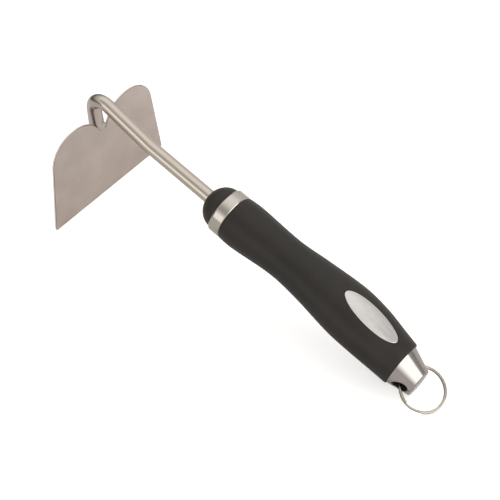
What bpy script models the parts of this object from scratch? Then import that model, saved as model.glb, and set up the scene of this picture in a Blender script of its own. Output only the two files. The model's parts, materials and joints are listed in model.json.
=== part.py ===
"""Weeding hoe: a heart-shaped draw-hoe blade on a gooseneck bar, with a soft-grip handle and a split ring.

Metres, +Z up. The hoe stands as it rests on a table, on the blade's straight edge and the lower rim
of the end cap. +X runs from the blade to the butt, and the XZ plane is the hoe's plane of symmetry.
The handle's pieces are drawn along the handle's own axis, from the front of the collar, in a frame
that an empty tilts into place.
"""

import bpy
import bmesh
import math
from mathutils import Matrix, Vector

# Clearance between pieces that touch, and between a piece and what passes through it
FIT = 0.0003

# Blade: a flat stamped sheet with two lobes and a notch between them
BLADE_THICKNESS = 0.0015
BLADE_HALF_WIDTH = 0.0511
BLADE_LEAN = math.radians(1.2)
BLADE_CORNER_RADIUS = 0.0012
BLADE_EDGE_ROUND = 0.0003
LOBE_RADIUS = 0.0214
LOBE_CENTRE = (0.0239, 0.0500)
NOTCH_RADIUS = 0.0042

# Neck: one bent bar, from the tang in the handle to the pressed foot behind the notch
BAR_RADIUS = 0.0045
TANG_LENGTH = 0.092
TANG_POINT = 0.003
TANG_TIP_SHARE = 0.6
NECK_STRAIGHT = 0.0634
NECK_KINK = math.radians(7.34)
NECK_KINK_RADIUS = 0.045
GOOSENECK_RADIUS = 0.0105
FOOT_HALF_WIDTH = 0.0046
FOOT_FRONT_DEPTH = 0.0049
FOOT_BACK_DEPTH = 0.0045
FOOT_SQUARENESS = 3.4
FOOT_END_HEIGHT = 0.027
FOOT_PRESSED_TOP = 0.060
FOOT_ROUND_TOP = 0.077
BLADE_REACH = 0.1031

# Weld beads behind the blade, and the ground weld in the bottom of the notch
BEAD_SIZE = 0.0028
BEAD_TOP = 0.050
BEAD_RUN_OUT = 0.003
NOTCH_WELD_TIP = 0.0004
NOTCH_WELD_FOOT_TURN = math.radians(12)

# Handle: the axis falls towards the butt
HANDLE_SLOPE = math.radians(12.9)
NOSE_LENGTH = 0.0115
NOSE_FULL_LENGTH = 0.0124
NOSE_RADIUS = 0.0140
COLLAR_LENGTH = 0.0081
COLLAR_RADIUS = 0.0154
COLLAR_FRONT_ROUND = 0.0016
COLLAR_REAR_BEVEL = 0.0006
CORE_SPIGOT_RADIUS = 0.0115
GRIP_LENGTH = 0.1360
GRIP_WALL = 0.0026
GRIP_LIP_ROUND = 0.0009

# Form of the grip, from its front: place, rise of the centre, half width and half height
GRIP_FRONT = (0.0000, 0.0000, 0.0153, 0.0153)
GRIP_FRONT_BULGE = (0.0095, 0.0005, 0.0158, 0.0156)
GRIP_WAIST = (0.0420, 0.0029, 0.0140, 0.0132)
GRIP_PALM_START = (0.0642, 0.0037, 0.0158, 0.0140)
GRIP_PALM = (0.0915, 0.0025, 0.0187, 0.0154)
GRIP_PALM_END = (0.1095, 0.0006, 0.0182, 0.0150)
GRIP_BUTT_START = (0.1262, -0.0027, 0.0161, 0.0147)
GRIP_BUTT = (-0.0048, 0.0148, 0.0148)

# Oval inlay on top of the grip
OVAL_PLACE = 0.1062
OVAL_HALF_LENGTH = 0.0211
OVAL_HALF_WIDTH = 0.0071
OVAL_PROUD = 0.0003
OVAL_RIM_DROP = 0.0005
OVAL_SHARES = (1.0, 0.93, 0.8, 0.6, 0.4, 0.2)
WINDOW_CUT_BOTTOM = 0.002
WINDOW_CUT_TOP = 0.040

# End cap: a hollow cone whose underside runs on straight
CAP_LENGTH = 0.0150
CAP_BASE_RADIUS = 0.0136
CAP_END_RADIUS = 0.0092
CAP_BASE_RISE = -0.0053
CAP_END_RISE = -0.0091
CAP_WALL = 0.0017
CAP_RIM_ROUND = 0.0010
CAP_SPIGOT_LENGTH = 0.0019
HOLE_FROM_BASE = 0.0075
HOLE_RISE = -0.0078
HOLE_HALF_LENGTH = 0.0048
HOLE_HALF_HEIGHT = 0.0038
HOLE_CUT_REACH = 0.030

# Split ring: two flat coils of one wire, with a step between them
RING_RADIUS = 0.0142
RING_WIRE_RADIUS = 0.0008
RING_WIRE_FLATNESS = 0.56
RING_COIL_GAP = 0.00046
RING_POINTS_PER_LOOP = 24
RING_STEP_ANGLE = math.radians(45)
RING_STEP_PLACE = math.radians(-97)
RING_TWIST = math.radians(5.9)
RING_SIDE_SHIFT = -0.0006
RING_PIVOT_FROM_BASE = 0.0088
RING_PIVOT_RISE = -0.0082
RING_REACH = 0.0102
RING_SAG = 0.0004
RING_FLOOR_GAP = 0.0002

# Points round a section
BAR_SIDES = 24
HANDLE_SIDES = 48
CORE_SIDES = 32
TURNED_STEPS = 48
WINDOW_SIDES = 64
HOLE_SIDES = 40

# Steps along a form
LOBE_STEPS = 40
NOTCH_STEPS = 10
CORNER_STEPS = 5
NECK_RUN_STEPS = (1, 1, 12)
NECK_TURN_STEPS = 24
BEAD_STEPS = 6
WELD_STEPS = 7
DOME_STEPS = 14
EDGE_STEPS = 6
GRIP_STEPS = 34
LIP_STEPS = 4
BORE_STEPS = 22
CAP_STEPS = 8
REST_HALVINGS = 40

# Edges sharper than this are shaded as edges, and the blade's rim is rounded where it is sharper
SMOOTH_ANGLE = math.radians(35)
RIM_ANGLE = math.radians(50)
RIM_SEGMENTS = 2

# Points closer than this are made one
MERGE_DISTANCE = 0.00001

GRIP_START = COLLAR_LENGTH + FIT
GRIP_END = GRIP_START + GRIP_LENGTH
CAP_START = GRIP_END + FIT
CAP_END = CAP_START + CAP_LENGTH


def clear_scene():
    """Remove every object of the open scene."""
    for old in list(bpy.data.objects):
        bpy.data.objects.remove(old, do_unlink=True)


def new_collection(name):
    """Make a collection under the scene's own."""
    collection = bpy.data.collections.new(name)
    bpy.context.scene.collection.children.link(collection)
    return collection


def make_material(name, colour, roughness, metallic):
    """Make a Principled material."""
    material = bpy.data.materials.new(name)
    material.use_nodes = True
    shader = material.node_tree.nodes["Principled BSDF"]
    shader.inputs["Base Color"].default_value = (*colour, 1.0)
    shader.inputs["Roughness"].default_value = roughness
    shader.inputs["Metallic"].default_value = metallic
    return material


def add_object(name, mesh, collection, material, parent):
    """Link a mesh as a named, smoothly shaded object."""
    mesh.shade_smooth()
    mesh.set_sharp_from_angle(angle=SMOOTH_ANGLE)
    mesh.materials.clear()
    mesh.materials.append(material)
    item = bpy.data.objects.new(name, mesh)
    item.parent = parent
    collection.objects.link(item)
    return item


def loft_mesh(name, rings, ring_loop=False):
    """Join rings of equally many points into one closed solid.

    With ring_loop the last ring joins the first, as in a sleeve; otherwise both ends are capped.
    """
    bm = bmesh.new()
    loops = [[bm.verts.new(point) for point in ring] for ring in rings]
    following = loops[1:] + loops[:1] if ring_loop else loops[1:]
    for first, second in zip(loops, following):
        for index in range(len(first)):
            after = (index + 1) % len(first)
            bm.faces.new((first[index], first[after], second[after], second[index]))
    if not ring_loop:
        bm.faces.new(loops[0])
        bm.faces.new(loops[-1])
    bmesh.ops.recalc_face_normals(bm, faces=bm.faces)
    mesh = bpy.data.meshes.new(name)
    bm.to_mesh(mesh)
    bm.free()
    return mesh


def curve_to_mesh(curve_object):
    """Turn a curve object into a mesh with its caps welded on, and remove the curve."""
    bpy.context.view_layer.update()
    evaluated = curve_object.evaluated_get(bpy.context.evaluated_depsgraph_get())
    mesh = bpy.data.meshes.new_from_object(evaluated)
    bm = bmesh.new()
    bm.from_mesh(mesh)
    bmesh.ops.remove_doubles(bm, verts=bm.verts, dist=MERGE_DISTANCE)
    bm.to_mesh(mesh)
    bm.free()
    bpy.data.objects.remove(curve_object, do_unlink=True)
    return mesh


def even_places(start, end, steps):
    """Evenly spaced places, both ends included."""
    return [start + (end - start) * step / steps for step in range(steps + 1)]


def arc(centre, radius, start, end, steps):
    """Points of a round stretch, both ends included."""
    turns = even_places(start, end, steps)
    return [(centre[0] + radius * math.cos(turn), centre[1] + radius * math.sin(turn)) for turn in turns]


def ease(value):
    """Rise smoothly from 0 to 1."""
    value = min(max(value, 0.0), 1.0)
    return value * value * (3.0 - 2.0 * value)


def smooth_between(stations, place):
    """Read a smooth curve through stations, each a place followed by its values."""
    last = len(stations) - 2
    index = next((i for i in range(last) if place <= stations[i + 1][0]), last)
    before = stations[max(index - 1, 0)]
    start = stations[index]
    end = stations[index + 1]
    after = stations[min(index + 2, last + 1)]
    span = end[0] - start[0]
    part = (place - start[0]) / span
    values = []
    for k in range(1, len(start)):
        slope_in = (end[k] - before[k]) / (end[0] - before[0]) * span
        slope_out = (after[k] - start[k]) / (after[0] - start[0]) * span
        values.append(
            (2 * part ** 3 - 3 * part ** 2 + 1) * start[k]
            + (part ** 3 - 2 * part ** 2 + part) * slope_in
            + (3 * part ** 2 - 2 * part ** 3) * end[k]
            + (part ** 3 - part ** 2) * slope_out
        )
    return values


def oval_ring(place, rise, half_width, half_height, sides):
    """One section across the handle's axis."""
    turns = [2 * math.pi * side / sides for side in range(sides)]
    return [
        Vector((place, half_width * math.cos(turn), rise + half_height * math.sin(turn)))
        for turn in turns
    ]


def grip_form(place):
    """Centre rise, half width and half height of the grip at a place along the handle's axis."""
    butt = (GRIP_LENGTH, *GRIP_BUTT)
    stations = (
        GRIP_FRONT, GRIP_FRONT_BULGE, GRIP_WAIST, GRIP_PALM_START, GRIP_PALM, GRIP_PALM_END,
        GRIP_BUTT_START, butt,
    )
    return smooth_between(stations, place - GRIP_START)


def grip_ring(place, inset, sides):
    """A section of the grip, drawn in by inset."""
    rise, half_width, half_height = grip_form(place)
    return oval_ring(place, rise, half_width - inset, half_height - inset, sides)


def grip_top(place, across, inset):
    """Height of the grip's upper surface, drawn in by inset."""
    rise, half_width, half_height = grip_form(place)
    return rise + (half_height - inset) * math.sqrt(1 - (across / (half_width - inset)) ** 2)


def cap_form(place):
    """Radius and centre rise of the end cap at a place from its base."""
    share = place / CAP_LENGTH
    radius = CAP_BASE_RADIUS + (CAP_END_RADIUS - CAP_BASE_RADIUS) * share
    rise = CAP_BASE_RISE + (CAP_END_RISE - CAP_BASE_RISE) * share
    return radius, rise


def cap_rim():
    """The rounded rim of the end cap: places from its base and how far each is drawn in."""
    turns = even_places(0.0, math.pi / 2, EDGE_STEPS)
    return [
        (CAP_LENGTH - CAP_RIM_ROUND * (1 - math.sin(turn)), CAP_RIM_ROUND * (1 - math.cos(turn)))
        for turn in turns
    ]


def handle_height():
    """Height of the collar's front over the table: the end cap's lower rim rests on it."""
    reaches = []
    for place, inset in cap_rim():
        radius, rise = cap_form(place)
        across = (radius - inset - rise) * math.cos(HANDLE_SLOPE)
        reaches.append((CAP_START + place) * math.sin(HANDLE_SLOPE) + across)
    return max(reaches)


def notch_centre():
    """Height on the blade of the centre of the notch's rounded bottom, which runs into both lobes."""
    reach = LOBE_RADIUS + NOTCH_RADIUS
    return LOBE_CENTRE[1] + math.sqrt(reach ** 2 - LOBE_CENTRE[0] ** 2)


def blade_outline():
    """The blade's right half from the middle of its edge, then the left half mirrored."""
    reach = math.hypot(BLADE_HALF_WIDTH - LOBE_CENTRE[0], LOBE_CENTRE[1])
    to_centre = math.atan2(LOBE_CENTRE[1], LOBE_CENTRE[0] - BLADE_HALF_WIDTH)
    side = to_centre - math.asin(LOBE_RADIUS / reach)
    corner_back = BLADE_CORNER_RADIUS * math.tan(side / 2)
    corner = (BLADE_HALF_WIDTH - corner_back, BLADE_CORNER_RADIUS)
    into_notch = math.atan2(notch_centre() - LOBE_CENTRE[1], -LOBE_CENTRE[0])
    right = arc(corner, BLADE_CORNER_RADIUS, -math.pi / 2, side - math.pi / 2, CORNER_STEPS)
    right += arc(LOBE_CENTRE, LOBE_RADIUS, side - math.pi / 2, into_notch, LOBE_STEPS)
    notch = arc((0.0, notch_centre()), NOTCH_RADIUS, into_notch - math.pi, -into_notch, NOTCH_STEPS)
    left = [(-across, up) for across, up in reversed(right)]
    return right + notch[1:-1] + left


def notch_half_width(height, inset):
    """Half width of the notch at a height on the blade, drawn in by inset."""
    below = notch_centre() - height
    join = (notch_centre() - LOBE_CENTRE[1]) * NOTCH_RADIUS / (LOBE_RADIUS + NOTCH_RADIUS)
    if below > join:
        return math.sqrt((NOTCH_RADIUS - inset) ** 2 - below ** 2)
    return LOBE_CENTRE[0] - math.sqrt((LOBE_RADIUS + inset) ** 2 - (height - LOBE_CENTRE[1]) ** 2)


def blade_matrix():
    """Place of the blade: its own X runs across the hoe, its Y up, its Z towards the handle."""
    lean = BLADE_LEAN
    turn = Matrix((
        (0.0, -math.sin(lean), math.cos(lean)),
        (1.0, 0.0, 0.0),
        (0.0, math.cos(lean), math.sin(lean)),
    )).to_4x4()
    lift = BLADE_THICKNESS / 2 * math.sin(lean)
    return Matrix.Translation((-BLADE_REACH, 0.0, lift)) @ turn


def make_blade(collection, material, root):
    """The stamped sheet, with its rim slightly rounded."""
    curve = bpy.data.curves.new("blade_outline", "CURVE")
    curve.dimensions = "2D"
    curve.fill_mode = "BOTH"
    curve.extrude = BLADE_THICKNESS / 2
    points = blade_outline()
    spline = curve.splines.new("POLY")
    spline.points.add(len(points) - 1)
    for point, (across, up) in zip(spline.points, points):
        point.co = (across, up, 0.0, 1.0)
    spline.use_cyclic_u = True
    outline = bpy.data.objects.new("blade_outline", curve)
    collection.objects.link(outline)
    blade = add_object("blade", curve_to_mesh(outline), collection, material, root)
    blade.matrix_local = blade_matrix()
    rim = blade.modifiers.new("rim", "BEVEL")
    rim.width = BLADE_EDGE_ROUND
    rim.segments = RIM_SEGMENTS
    rim.limit_method = "ANGLE"
    rim.angle_limit = RIM_ANGLE
    return blade


def along_handle(place, rise):
    """World XZ of a point in the handle's own frame."""
    slope = HANDLE_SLOPE
    across = place * math.cos(slope) + rise * math.sin(slope)
    up = handle_height() - place * math.sin(slope) + rise * math.cos(slope)
    return Vector((across, 0.0, up))


def leg_point(height):
    """Point of the foot's axis, behind the blade, at a height over its edge."""
    behind = BLADE_THICKNESS / 2 + FIT + FOOT_FRONT_DEPTH
    return blade_matrix() @ Vector((0.0, height, -behind))


def neck_corners():
    """Corners of the bar's centre line: tang end, kink, top of the gooseneck, foot end."""
    tang = along_handle(TANG_LENGTH, 0.0)
    kink = along_handle(-NECK_STRAIGHT, 0.0)
    rise = HANDLE_SLOPE + NECK_KINK
    run = Vector((-math.cos(rise), 0.0, math.sin(rise)))
    foot = leg_point(FOOT_END_HEIGHT)
    up = (leg_point(FOOT_ROUND_TOP) - foot).normalized()
    gap = foot - kink
    length = (gap.z * up.x - gap.x * up.z) / (run.z * up.x - run.x * up.z)
    return [tang, kink, kink + run * length, foot]


def rounded_path(corners, radii, run_steps, turn_steps):
    """Points of a route in the XZ plane with its corners rounded.

    Each straight run takes its own number of steps, and a half turn takes turn_steps.
    """
    points = [corners[0]]
    for before, corner, after, radius, steps in zip(corners, corners[1:], corners[2:], radii, run_steps):
        back = (before - corner).normalized()
        onward = (after - corner).normalized()
        turn = math.pi - back.angle(onward)
        trim = radius * math.tan(turn / 2)
        centre = corner + (back + onward).normalized() * (radius / math.cos(turn / 2))
        entry = corner + back * trim
        points += straight_points(points[-1], entry, steps)
        spoke = entry - centre
        axis = back.cross(onward)
        count = max(2, round(turn_steps * turn / math.pi))
        for step in range(1, count + 1):
            points.append(centre + Matrix.Rotation(-turn * step / count, 3, axis) @ spoke)
    points += straight_points(points[-1], corners[-1], run_steps[-1])
    return points


def straight_points(start, end, steps):
    """Points after start up to end."""
    return [start.lerp(end, step / steps) for step in range(1, steps + 1)]


def foot_share(point):
    """How far the bar is pressed to the foot's section at a point: 0 is round, 1 is fully pressed."""
    place = blade_matrix().inverted() @ point
    if place.z > 0.0:
        return 0.0
    return ease((FOOT_ROUND_TOP - place.y) / (FOOT_ROUND_TOP - FOOT_PRESSED_TOP))


def bar_section(point, tangent, shrink):
    """One section of the bar: round, or pressed flat on the side that faces the blade."""
    across = Vector((0.0, 1.0, 0.0))
    front = tangent.cross(across)
    share = foot_share(point)
    power = 2.0 / FOOT_SQUARENESS
    ring = []
    for side in range(BAR_SIDES):
        turn = 2 * math.pi * side / BAR_SIDES
        forward = math.cos(turn)
        sideways = math.sin(turn)
        round_front = BAR_RADIUS * forward
        round_side = BAR_RADIUS * sideways
        if forward > 0:
            flat_front = FOOT_FRONT_DEPTH * forward ** power
            flat_side = FOOT_HALF_WIDTH * math.copysign(abs(sideways) ** power, sideways)
        else:
            flat_front = FOOT_BACK_DEPTH * forward
            flat_side = FOOT_HALF_WIDTH * sideways
        depth = round_front + (flat_front - round_front) * share
        width = round_side + (flat_side - round_side) * share
        ring.append(point + front * depth * shrink + across * width * shrink)
    return ring


def make_neck(collection, material, root):
    """The bent bar, with a pointed tang and the pressed foot."""
    radii = (NECK_KINK_RADIUS, GOOSENECK_RADIUS)
    route = rounded_path(neck_corners(), radii, NECK_RUN_STEPS, NECK_TURN_STEPS)
    rings = []
    for index, point in enumerate(route):
        before = route[max(index - 1, 0)]
        after = route[min(index + 1, len(route) - 1)]
        rings.append(bar_section(point, (after - before).normalized(), 1.0))
    first = (route[1] - route[0]).normalized()
    tip = bar_section(route[0] - first * TANG_POINT, first, TANG_TIP_SHARE)
    return add_object("neck", loft_mesh("neck", [tip] + rings), collection, material, root)


def make_bead(name, side, collection, material, root):
    """A fillet weld in the corner between the foot's side and the back of the blade."""
    heights = [FOOT_END_HEIGHT, FOOT_END_HEIGHT + BEAD_RUN_OUT, BEAD_TOP - BEAD_RUN_OUT, BEAD_TOP]
    sizes = [BEAD_SIZE / 2, BEAD_SIZE, BEAD_SIZE, BEAD_SIZE / 2]
    back = -(BLADE_THICKNESS / 2 + FIT)
    start = FOOT_HALF_WIDTH + FIT
    rings = []
    for height, size in zip(heights, sizes):
        face = arc((0, 0), size, 0, math.pi / 2, BEAD_STEPS)
        section = [(start, back)] + [(start + across, back - deep) for across, deep in face]
        rings.append([Vector((side * across, height, deep)) for across, deep in section])
    bead = add_object(name, loft_mesh(name, rings), collection, material, root)
    bead.matrix_local = blade_matrix()
    return bead


def make_notch_weld(collection, material, root):
    """The weld ground to a slope, from the blade's face down to the foot's face."""
    face = BLADE_THICKNESS / 2
    seat = -face
    first = NOTCH_WELD_FOOT_TURN
    rings = []
    for share in even_places(0.0, 1.0, WELD_STEPS):
        height = notch_centre() - (NOTCH_RADIUS - FIT) * math.cos(first + (math.pi / 2 - first) * share)
        half = notch_half_width(height, FIT)
        top = face + (seat + NOTCH_WELD_TIP - face) * share * share
        section = [(-half, seat), (half, seat), (half, top), (-half, top)]
        rings.append([Vector((across, height, deep)) for across, deep in section])
    weld = add_object("weld_notch", loft_mesh("weld_notch", rings), collection, material, root)
    weld.matrix_local = blade_matrix()
    return weld


def make_turned(name, profile, collection, material, handle):
    """A turned piece: a closed profile of (place, radius) points swept round the handle's axis."""
    bm = bmesh.new()
    points = [bm.verts.new((radius, 0.0, place)) for place, radius in profile]
    for first, second in zip(points, points[1:] + points[:1]):
        bm.edges.new((first, second))
    mesh = bpy.data.meshes.new(name)
    bm.to_mesh(mesh)
    bm.free()
    item = add_object(name, mesh, collection, material, handle)
    item.rotation_euler = (0.0, math.pi / 2, 0.0)
    screw = item.modifiers.new("turn", "SCREW")
    screw.steps = TURNED_STEPS
    screw.render_steps = TURNED_STEPS
    screw.use_merge_vertices = True
    screw.merge_threshold = MERGE_DISTANCE
    return item


def make_nose_dome(collection, material, handle):
    """The soft dome: part of an ellipse, bored for the bar."""
    start = math.acos(NOSE_LENGTH / NOSE_FULL_LENGTH)
    turns = even_places(math.pi / 2, start, DOME_STEPS)
    profile = [(-FIT - NOSE_FULL_LENGTH * math.cos(turn), NOSE_RADIUS * math.sin(turn)) for turn in turns]
    bore = BAR_RADIUS + FIT
    front = -FIT - NOSE_LENGTH
    profile += [(front, bore), (-FIT, bore)]
    return make_turned("nose_dome", profile, collection, material, handle)


def make_collar(collection, material, handle):
    """The metal band: rounded at the dome, bevelled at the grip."""
    bore = CORE_SPIGOT_RADIUS + FIT
    centre = (COLLAR_FRONT_ROUND, COLLAR_RADIUS - COLLAR_FRONT_ROUND)
    front = arc(centre, COLLAR_FRONT_ROUND, math.pi / 2, math.pi, EDGE_STEPS)
    profile = [(COLLAR_LENGTH, bore), (COLLAR_LENGTH, COLLAR_RADIUS - COLLAR_REAR_BEVEL)]
    profile += [(COLLAR_LENGTH - COLLAR_REAR_BEVEL, COLLAR_RADIUS)] + front + [(0.0, bore)]
    return make_turned("collar", profile, collection, material, handle)


def cap_ring(place, inset, sides):
    """A section of the end cap at a place from its base, drawn in by inset."""
    radius, rise = cap_form(place)
    return oval_ring(CAP_START + place, rise, radius - inset, radius - inset, sides)


def make_handle_core(collection, material, handle):
    """The rigid core: bored for the tang, with a spigot for the collar and one for the end cap."""
    sides = CORE_SIDES
    bore = BAR_RADIUS + FIT
    bore_end = TANG_LENGTH + TANG_POINT + FIT
    inset = GRIP_WALL + FIT
    rings = [oval_ring(bore_end, 0.0, bore, bore, sides), oval_ring(0.0, 0.0, bore, bore, sides)]
    spigot = CORE_SPIGOT_RADIUS
    rings += [oval_ring(place, 0.0, spigot, spigot, sides) for place in (0.0, GRIP_START)]
    places = even_places(GRIP_START + FIT, GRIP_END, BORE_STEPS)
    rings += [grip_ring(place, inset, sides) for place in places]
    rings += [cap_ring(place, CAP_WALL + FIT, sides) for place in (-FIT / 2, CAP_SPIGOT_LENGTH)]
    return add_object("handle_core", loft_mesh("handle_core", rings), collection, material, handle)


def add_cutter(name, rings, cutters, handle):
    """A form to cut with, kept out of the model."""
    cutter = bpy.data.objects.new(name, loft_mesh(name, rings))
    cutter.parent = handle
    cutter.hide_render = True
    cutter.display_type = "WIRE"
    cutters.objects.link(cutter)
    return cutter


def window_rings():
    """The window's oval at the bottom and at the top of its cut."""
    turns = [2 * math.pi * side / WINDOW_SIDES for side in range(WINDOW_SIDES)]
    places = [GRIP_START + OVAL_PLACE + (OVAL_HALF_LENGTH + FIT) * math.cos(turn) for turn in turns]
    sideways = [(OVAL_HALF_WIDTH + FIT) * math.sin(turn) for turn in turns]
    return [
        [Vector((place, across, height)) for place, across in zip(places, sideways)]
        for height in (WINDOW_CUT_BOTTOM, WINDOW_CUT_TOP)
    ]


def cut(item, cutter, name):
    """Cut one object's shape out of another."""
    boolean = item.modifiers.new(name, "BOOLEAN")
    boolean.operation = "DIFFERENCE"
    boolean.object = cutter


def make_soft_grip(collection, cutters, material, handle):
    """The soft sleeve over the core, rounded at its rear lip, with the inlay's window cut out."""
    sides = HANDLE_SIDES
    lip = GRIP_LIP_ROUND
    outer = [grip_ring(GRIP_START, FIT, sides)]
    for place in even_places(GRIP_START + FIT, GRIP_END - lip, GRIP_STEPS):
        outer.append(grip_ring(place, 0.0, sides))
    for turn in even_places(0.0, math.pi / 2, LIP_STEPS)[1:]:
        outer.append(grip_ring(GRIP_END - lip * (1 - math.sin(turn)), lip * (1 - math.cos(turn)), sides))
    bore = [grip_ring(place, GRIP_WALL, sides) for place in even_places(GRIP_END, GRIP_START, BORE_STEPS)]
    mesh = loft_mesh("soft_grip", outer + bore, ring_loop=True)
    grip = add_object("soft_grip", mesh, collection, material, handle)
    window = add_cutter("window_cutter", window_rings(), cutters, handle)
    cut(grip, window, "window")
    return grip


def make_oval_inlay(collection, material, handle):
    """The crowned oval plate: it follows the grip, slightly proud, with its rim rolled down."""
    sides = HANDLE_SIDES

    def surface_ring(share, height_over_grip, inset):
        ring = []
        for side in range(sides):
            turn = 2 * math.pi * side / sides
            place = GRIP_START + OVAL_PLACE + OVAL_HALF_LENGTH * share * math.cos(turn)
            across = OVAL_HALF_WIDTH * share * math.sin(turn)
            ring.append(Vector((place, across, grip_top(place, across, inset) + height_over_grip)))
        return ring

    top = [surface_ring(share, OVAL_PROUD, 0.0) for share in reversed(OVAL_SHARES[1:])]
    rim = [surface_ring(1.0, -OVAL_RIM_DROP, 0.0)]
    under = [surface_ring(share, 0.0, GRIP_WALL) for share in OVAL_SHARES]
    mesh = loft_mesh("oval_inlay", top + rim + under)
    return add_object("oval_inlay", mesh, collection, material, handle)


def make_end_cap(collection, cutters, material, handle):
    """The hollow cone, closed at its flat end and open at its base, with a hole through each side."""
    floor = CAP_LENGTH - CAP_WALL
    sides = HANDLE_SIDES
    rings = [cap_ring(place, CAP_WALL, sides) for place in even_places(floor, 0.0, CAP_STEPS)]
    outside = even_places(0.0, CAP_LENGTH - CAP_RIM_ROUND, CAP_STEPS)[:-1]
    rings += [cap_ring(place, 0.0, sides) for place in outside]
    rings += [cap_ring(place, inset, sides) for place, inset in cap_rim()]
    cap = add_object("end_cap", loft_mesh("end_cap", rings), collection, material, handle)
    drill = add_cutter("hole_cutter", hole_rings(), cutters, handle)
    cut(cap, drill, "side_holes")
    return cap


def hole_rings():
    """The oval of the cap's holes on both sides of the cap."""
    turns = [2 * math.pi * side / HOLE_SIDES for side in range(HOLE_SIDES)]
    return [
        [
            Vector((
                CAP_START + HOLE_FROM_BASE + HOLE_HALF_LENGTH * math.cos(turn),
                across,
                HOLE_RISE + HOLE_HALF_HEIGHT * math.sin(turn),
            ))
            for turn in turns
        ]
        for across in (-HOLE_CUT_REACH, HOLE_CUT_REACH)
    ]


def ring_route():
    """Centre line of the ring's wire, before it is flattened: two coils and the step between them."""
    climb = RING_WIRE_RADIUS * 2 + RING_COIL_GAP / RING_WIRE_FLATNESS
    total = 4 * math.pi - RING_STEP_ANGLE
    count = round(total / (2 * math.pi) * RING_POINTS_PER_LOOP)
    points = []
    for index in range(count + 1):
        turn = total * index / count
        share = ease((turn - (2 * math.pi - RING_STEP_ANGLE)) / RING_STEP_ANGLE)
        angle = RING_STEP_PLACE + RING_STEP_ANGLE + turn
        points.append(Vector((
            RING_REACH + RING_RADIUS * math.cos(angle),
            RING_SIDE_SHIFT + RING_RADIUS * math.sin(angle),
            climb * (share - 0.5),
        )))
    return points


def flattened(point):
    """A point of the ring's route on the flattened wire, in the ring's own frame."""
    return Vector((point.x, point.y, point.z * RING_WIRE_FLATNESS - RING_SAG))


def ring_rest_angle():
    """Fall of the ring from its pivot when its far side lies on the table."""
    pivot = along_handle(CAP_START + RING_PIVOT_FROM_BASE, RING_PIVOT_RISE)
    half_wire = RING_WIRE_RADIUS * RING_WIRE_FLATNESS
    low, high = 0.0, math.pi / 2
    for _ in range(REST_HALVINGS):
        middle = (low + high) / 2
        turn = Matrix.Rotation(middle, 3, "Y") @ Matrix.Rotation(RING_TWIST, 3, "X")
        outward = RING_WIRE_RADIUS * math.sin(middle) + half_wire * math.cos(middle)
        lowest = min((turn @ flattened(point)).z for point in ring_route()) - outward
        if pivot.z + lowest > RING_FLOOR_GAP:
            low = middle
        else:
            high = middle
    return low


def ring_self_gap():
    """Least gap between the ring's two coils, measured on the wire's own points."""
    route = [flattened(point) for point in ring_route()]
    apart = RING_POINTS_PER_LOOP // 2
    pairs = [(a, b) for i, a in enumerate(route) for b in route[i + apart:]]
    return min((a - b).length for a, b in pairs) - 2 * RING_WIRE_RADIUS * RING_WIRE_FLATNESS


def make_split_ring(collection, material, root):
    """The split ring, with its origin on the pivot in the cap's holes."""
    curve = bpy.data.curves.new("split_ring", "CURVE")
    curve.dimensions = "3D"
    curve.bevel_depth = RING_WIRE_RADIUS
    curve.bevel_resolution = 1
    curve.use_fill_caps = True
    route = ring_route()
    spline = curve.splines.new("POLY")
    spline.points.add(len(route) - 1)
    for point, place in zip(spline.points, route):
        point.co = (*place, 1.0)
    wire = bpy.data.objects.new("split_ring_wire", curve)
    collection.objects.link(wire)
    mesh = curve_to_mesh(wire)
    mesh.transform(Matrix.Diagonal((1.0, 1.0, RING_WIRE_FLATNESS, 1.0)))
    mesh.transform(Matrix.Translation((0.0, 0.0, -RING_SAG)))
    ring = add_object("split_ring", mesh, collection, material, root)
    ring.location = along_handle(CAP_START + RING_PIVOT_FROM_BASE, RING_PIVOT_RISE)
    ring.rotation_euler = (RING_TWIST, ring_rest_angle(), 0.0)
    print(f"split ring: least gap to itself {ring_self_gap() * 1000:.2f} mm")
    return ring


def centre_on_origin(root, collection):
    """Move the whole hoe along X until its box is centred over the origin."""
    bpy.context.view_layer.update()
    depsgraph = bpy.context.evaluated_depsgraph_get()
    places = []
    for item in collection.objects:
        evaluated = item.evaluated_get(depsgraph)
        places += [(evaluated.matrix_world @ vertex.co).x for vertex in evaluated.data.vertices]
    root.location.x = -(min(places) + max(places)) / 2
    bpy.context.view_layer.update()


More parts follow.
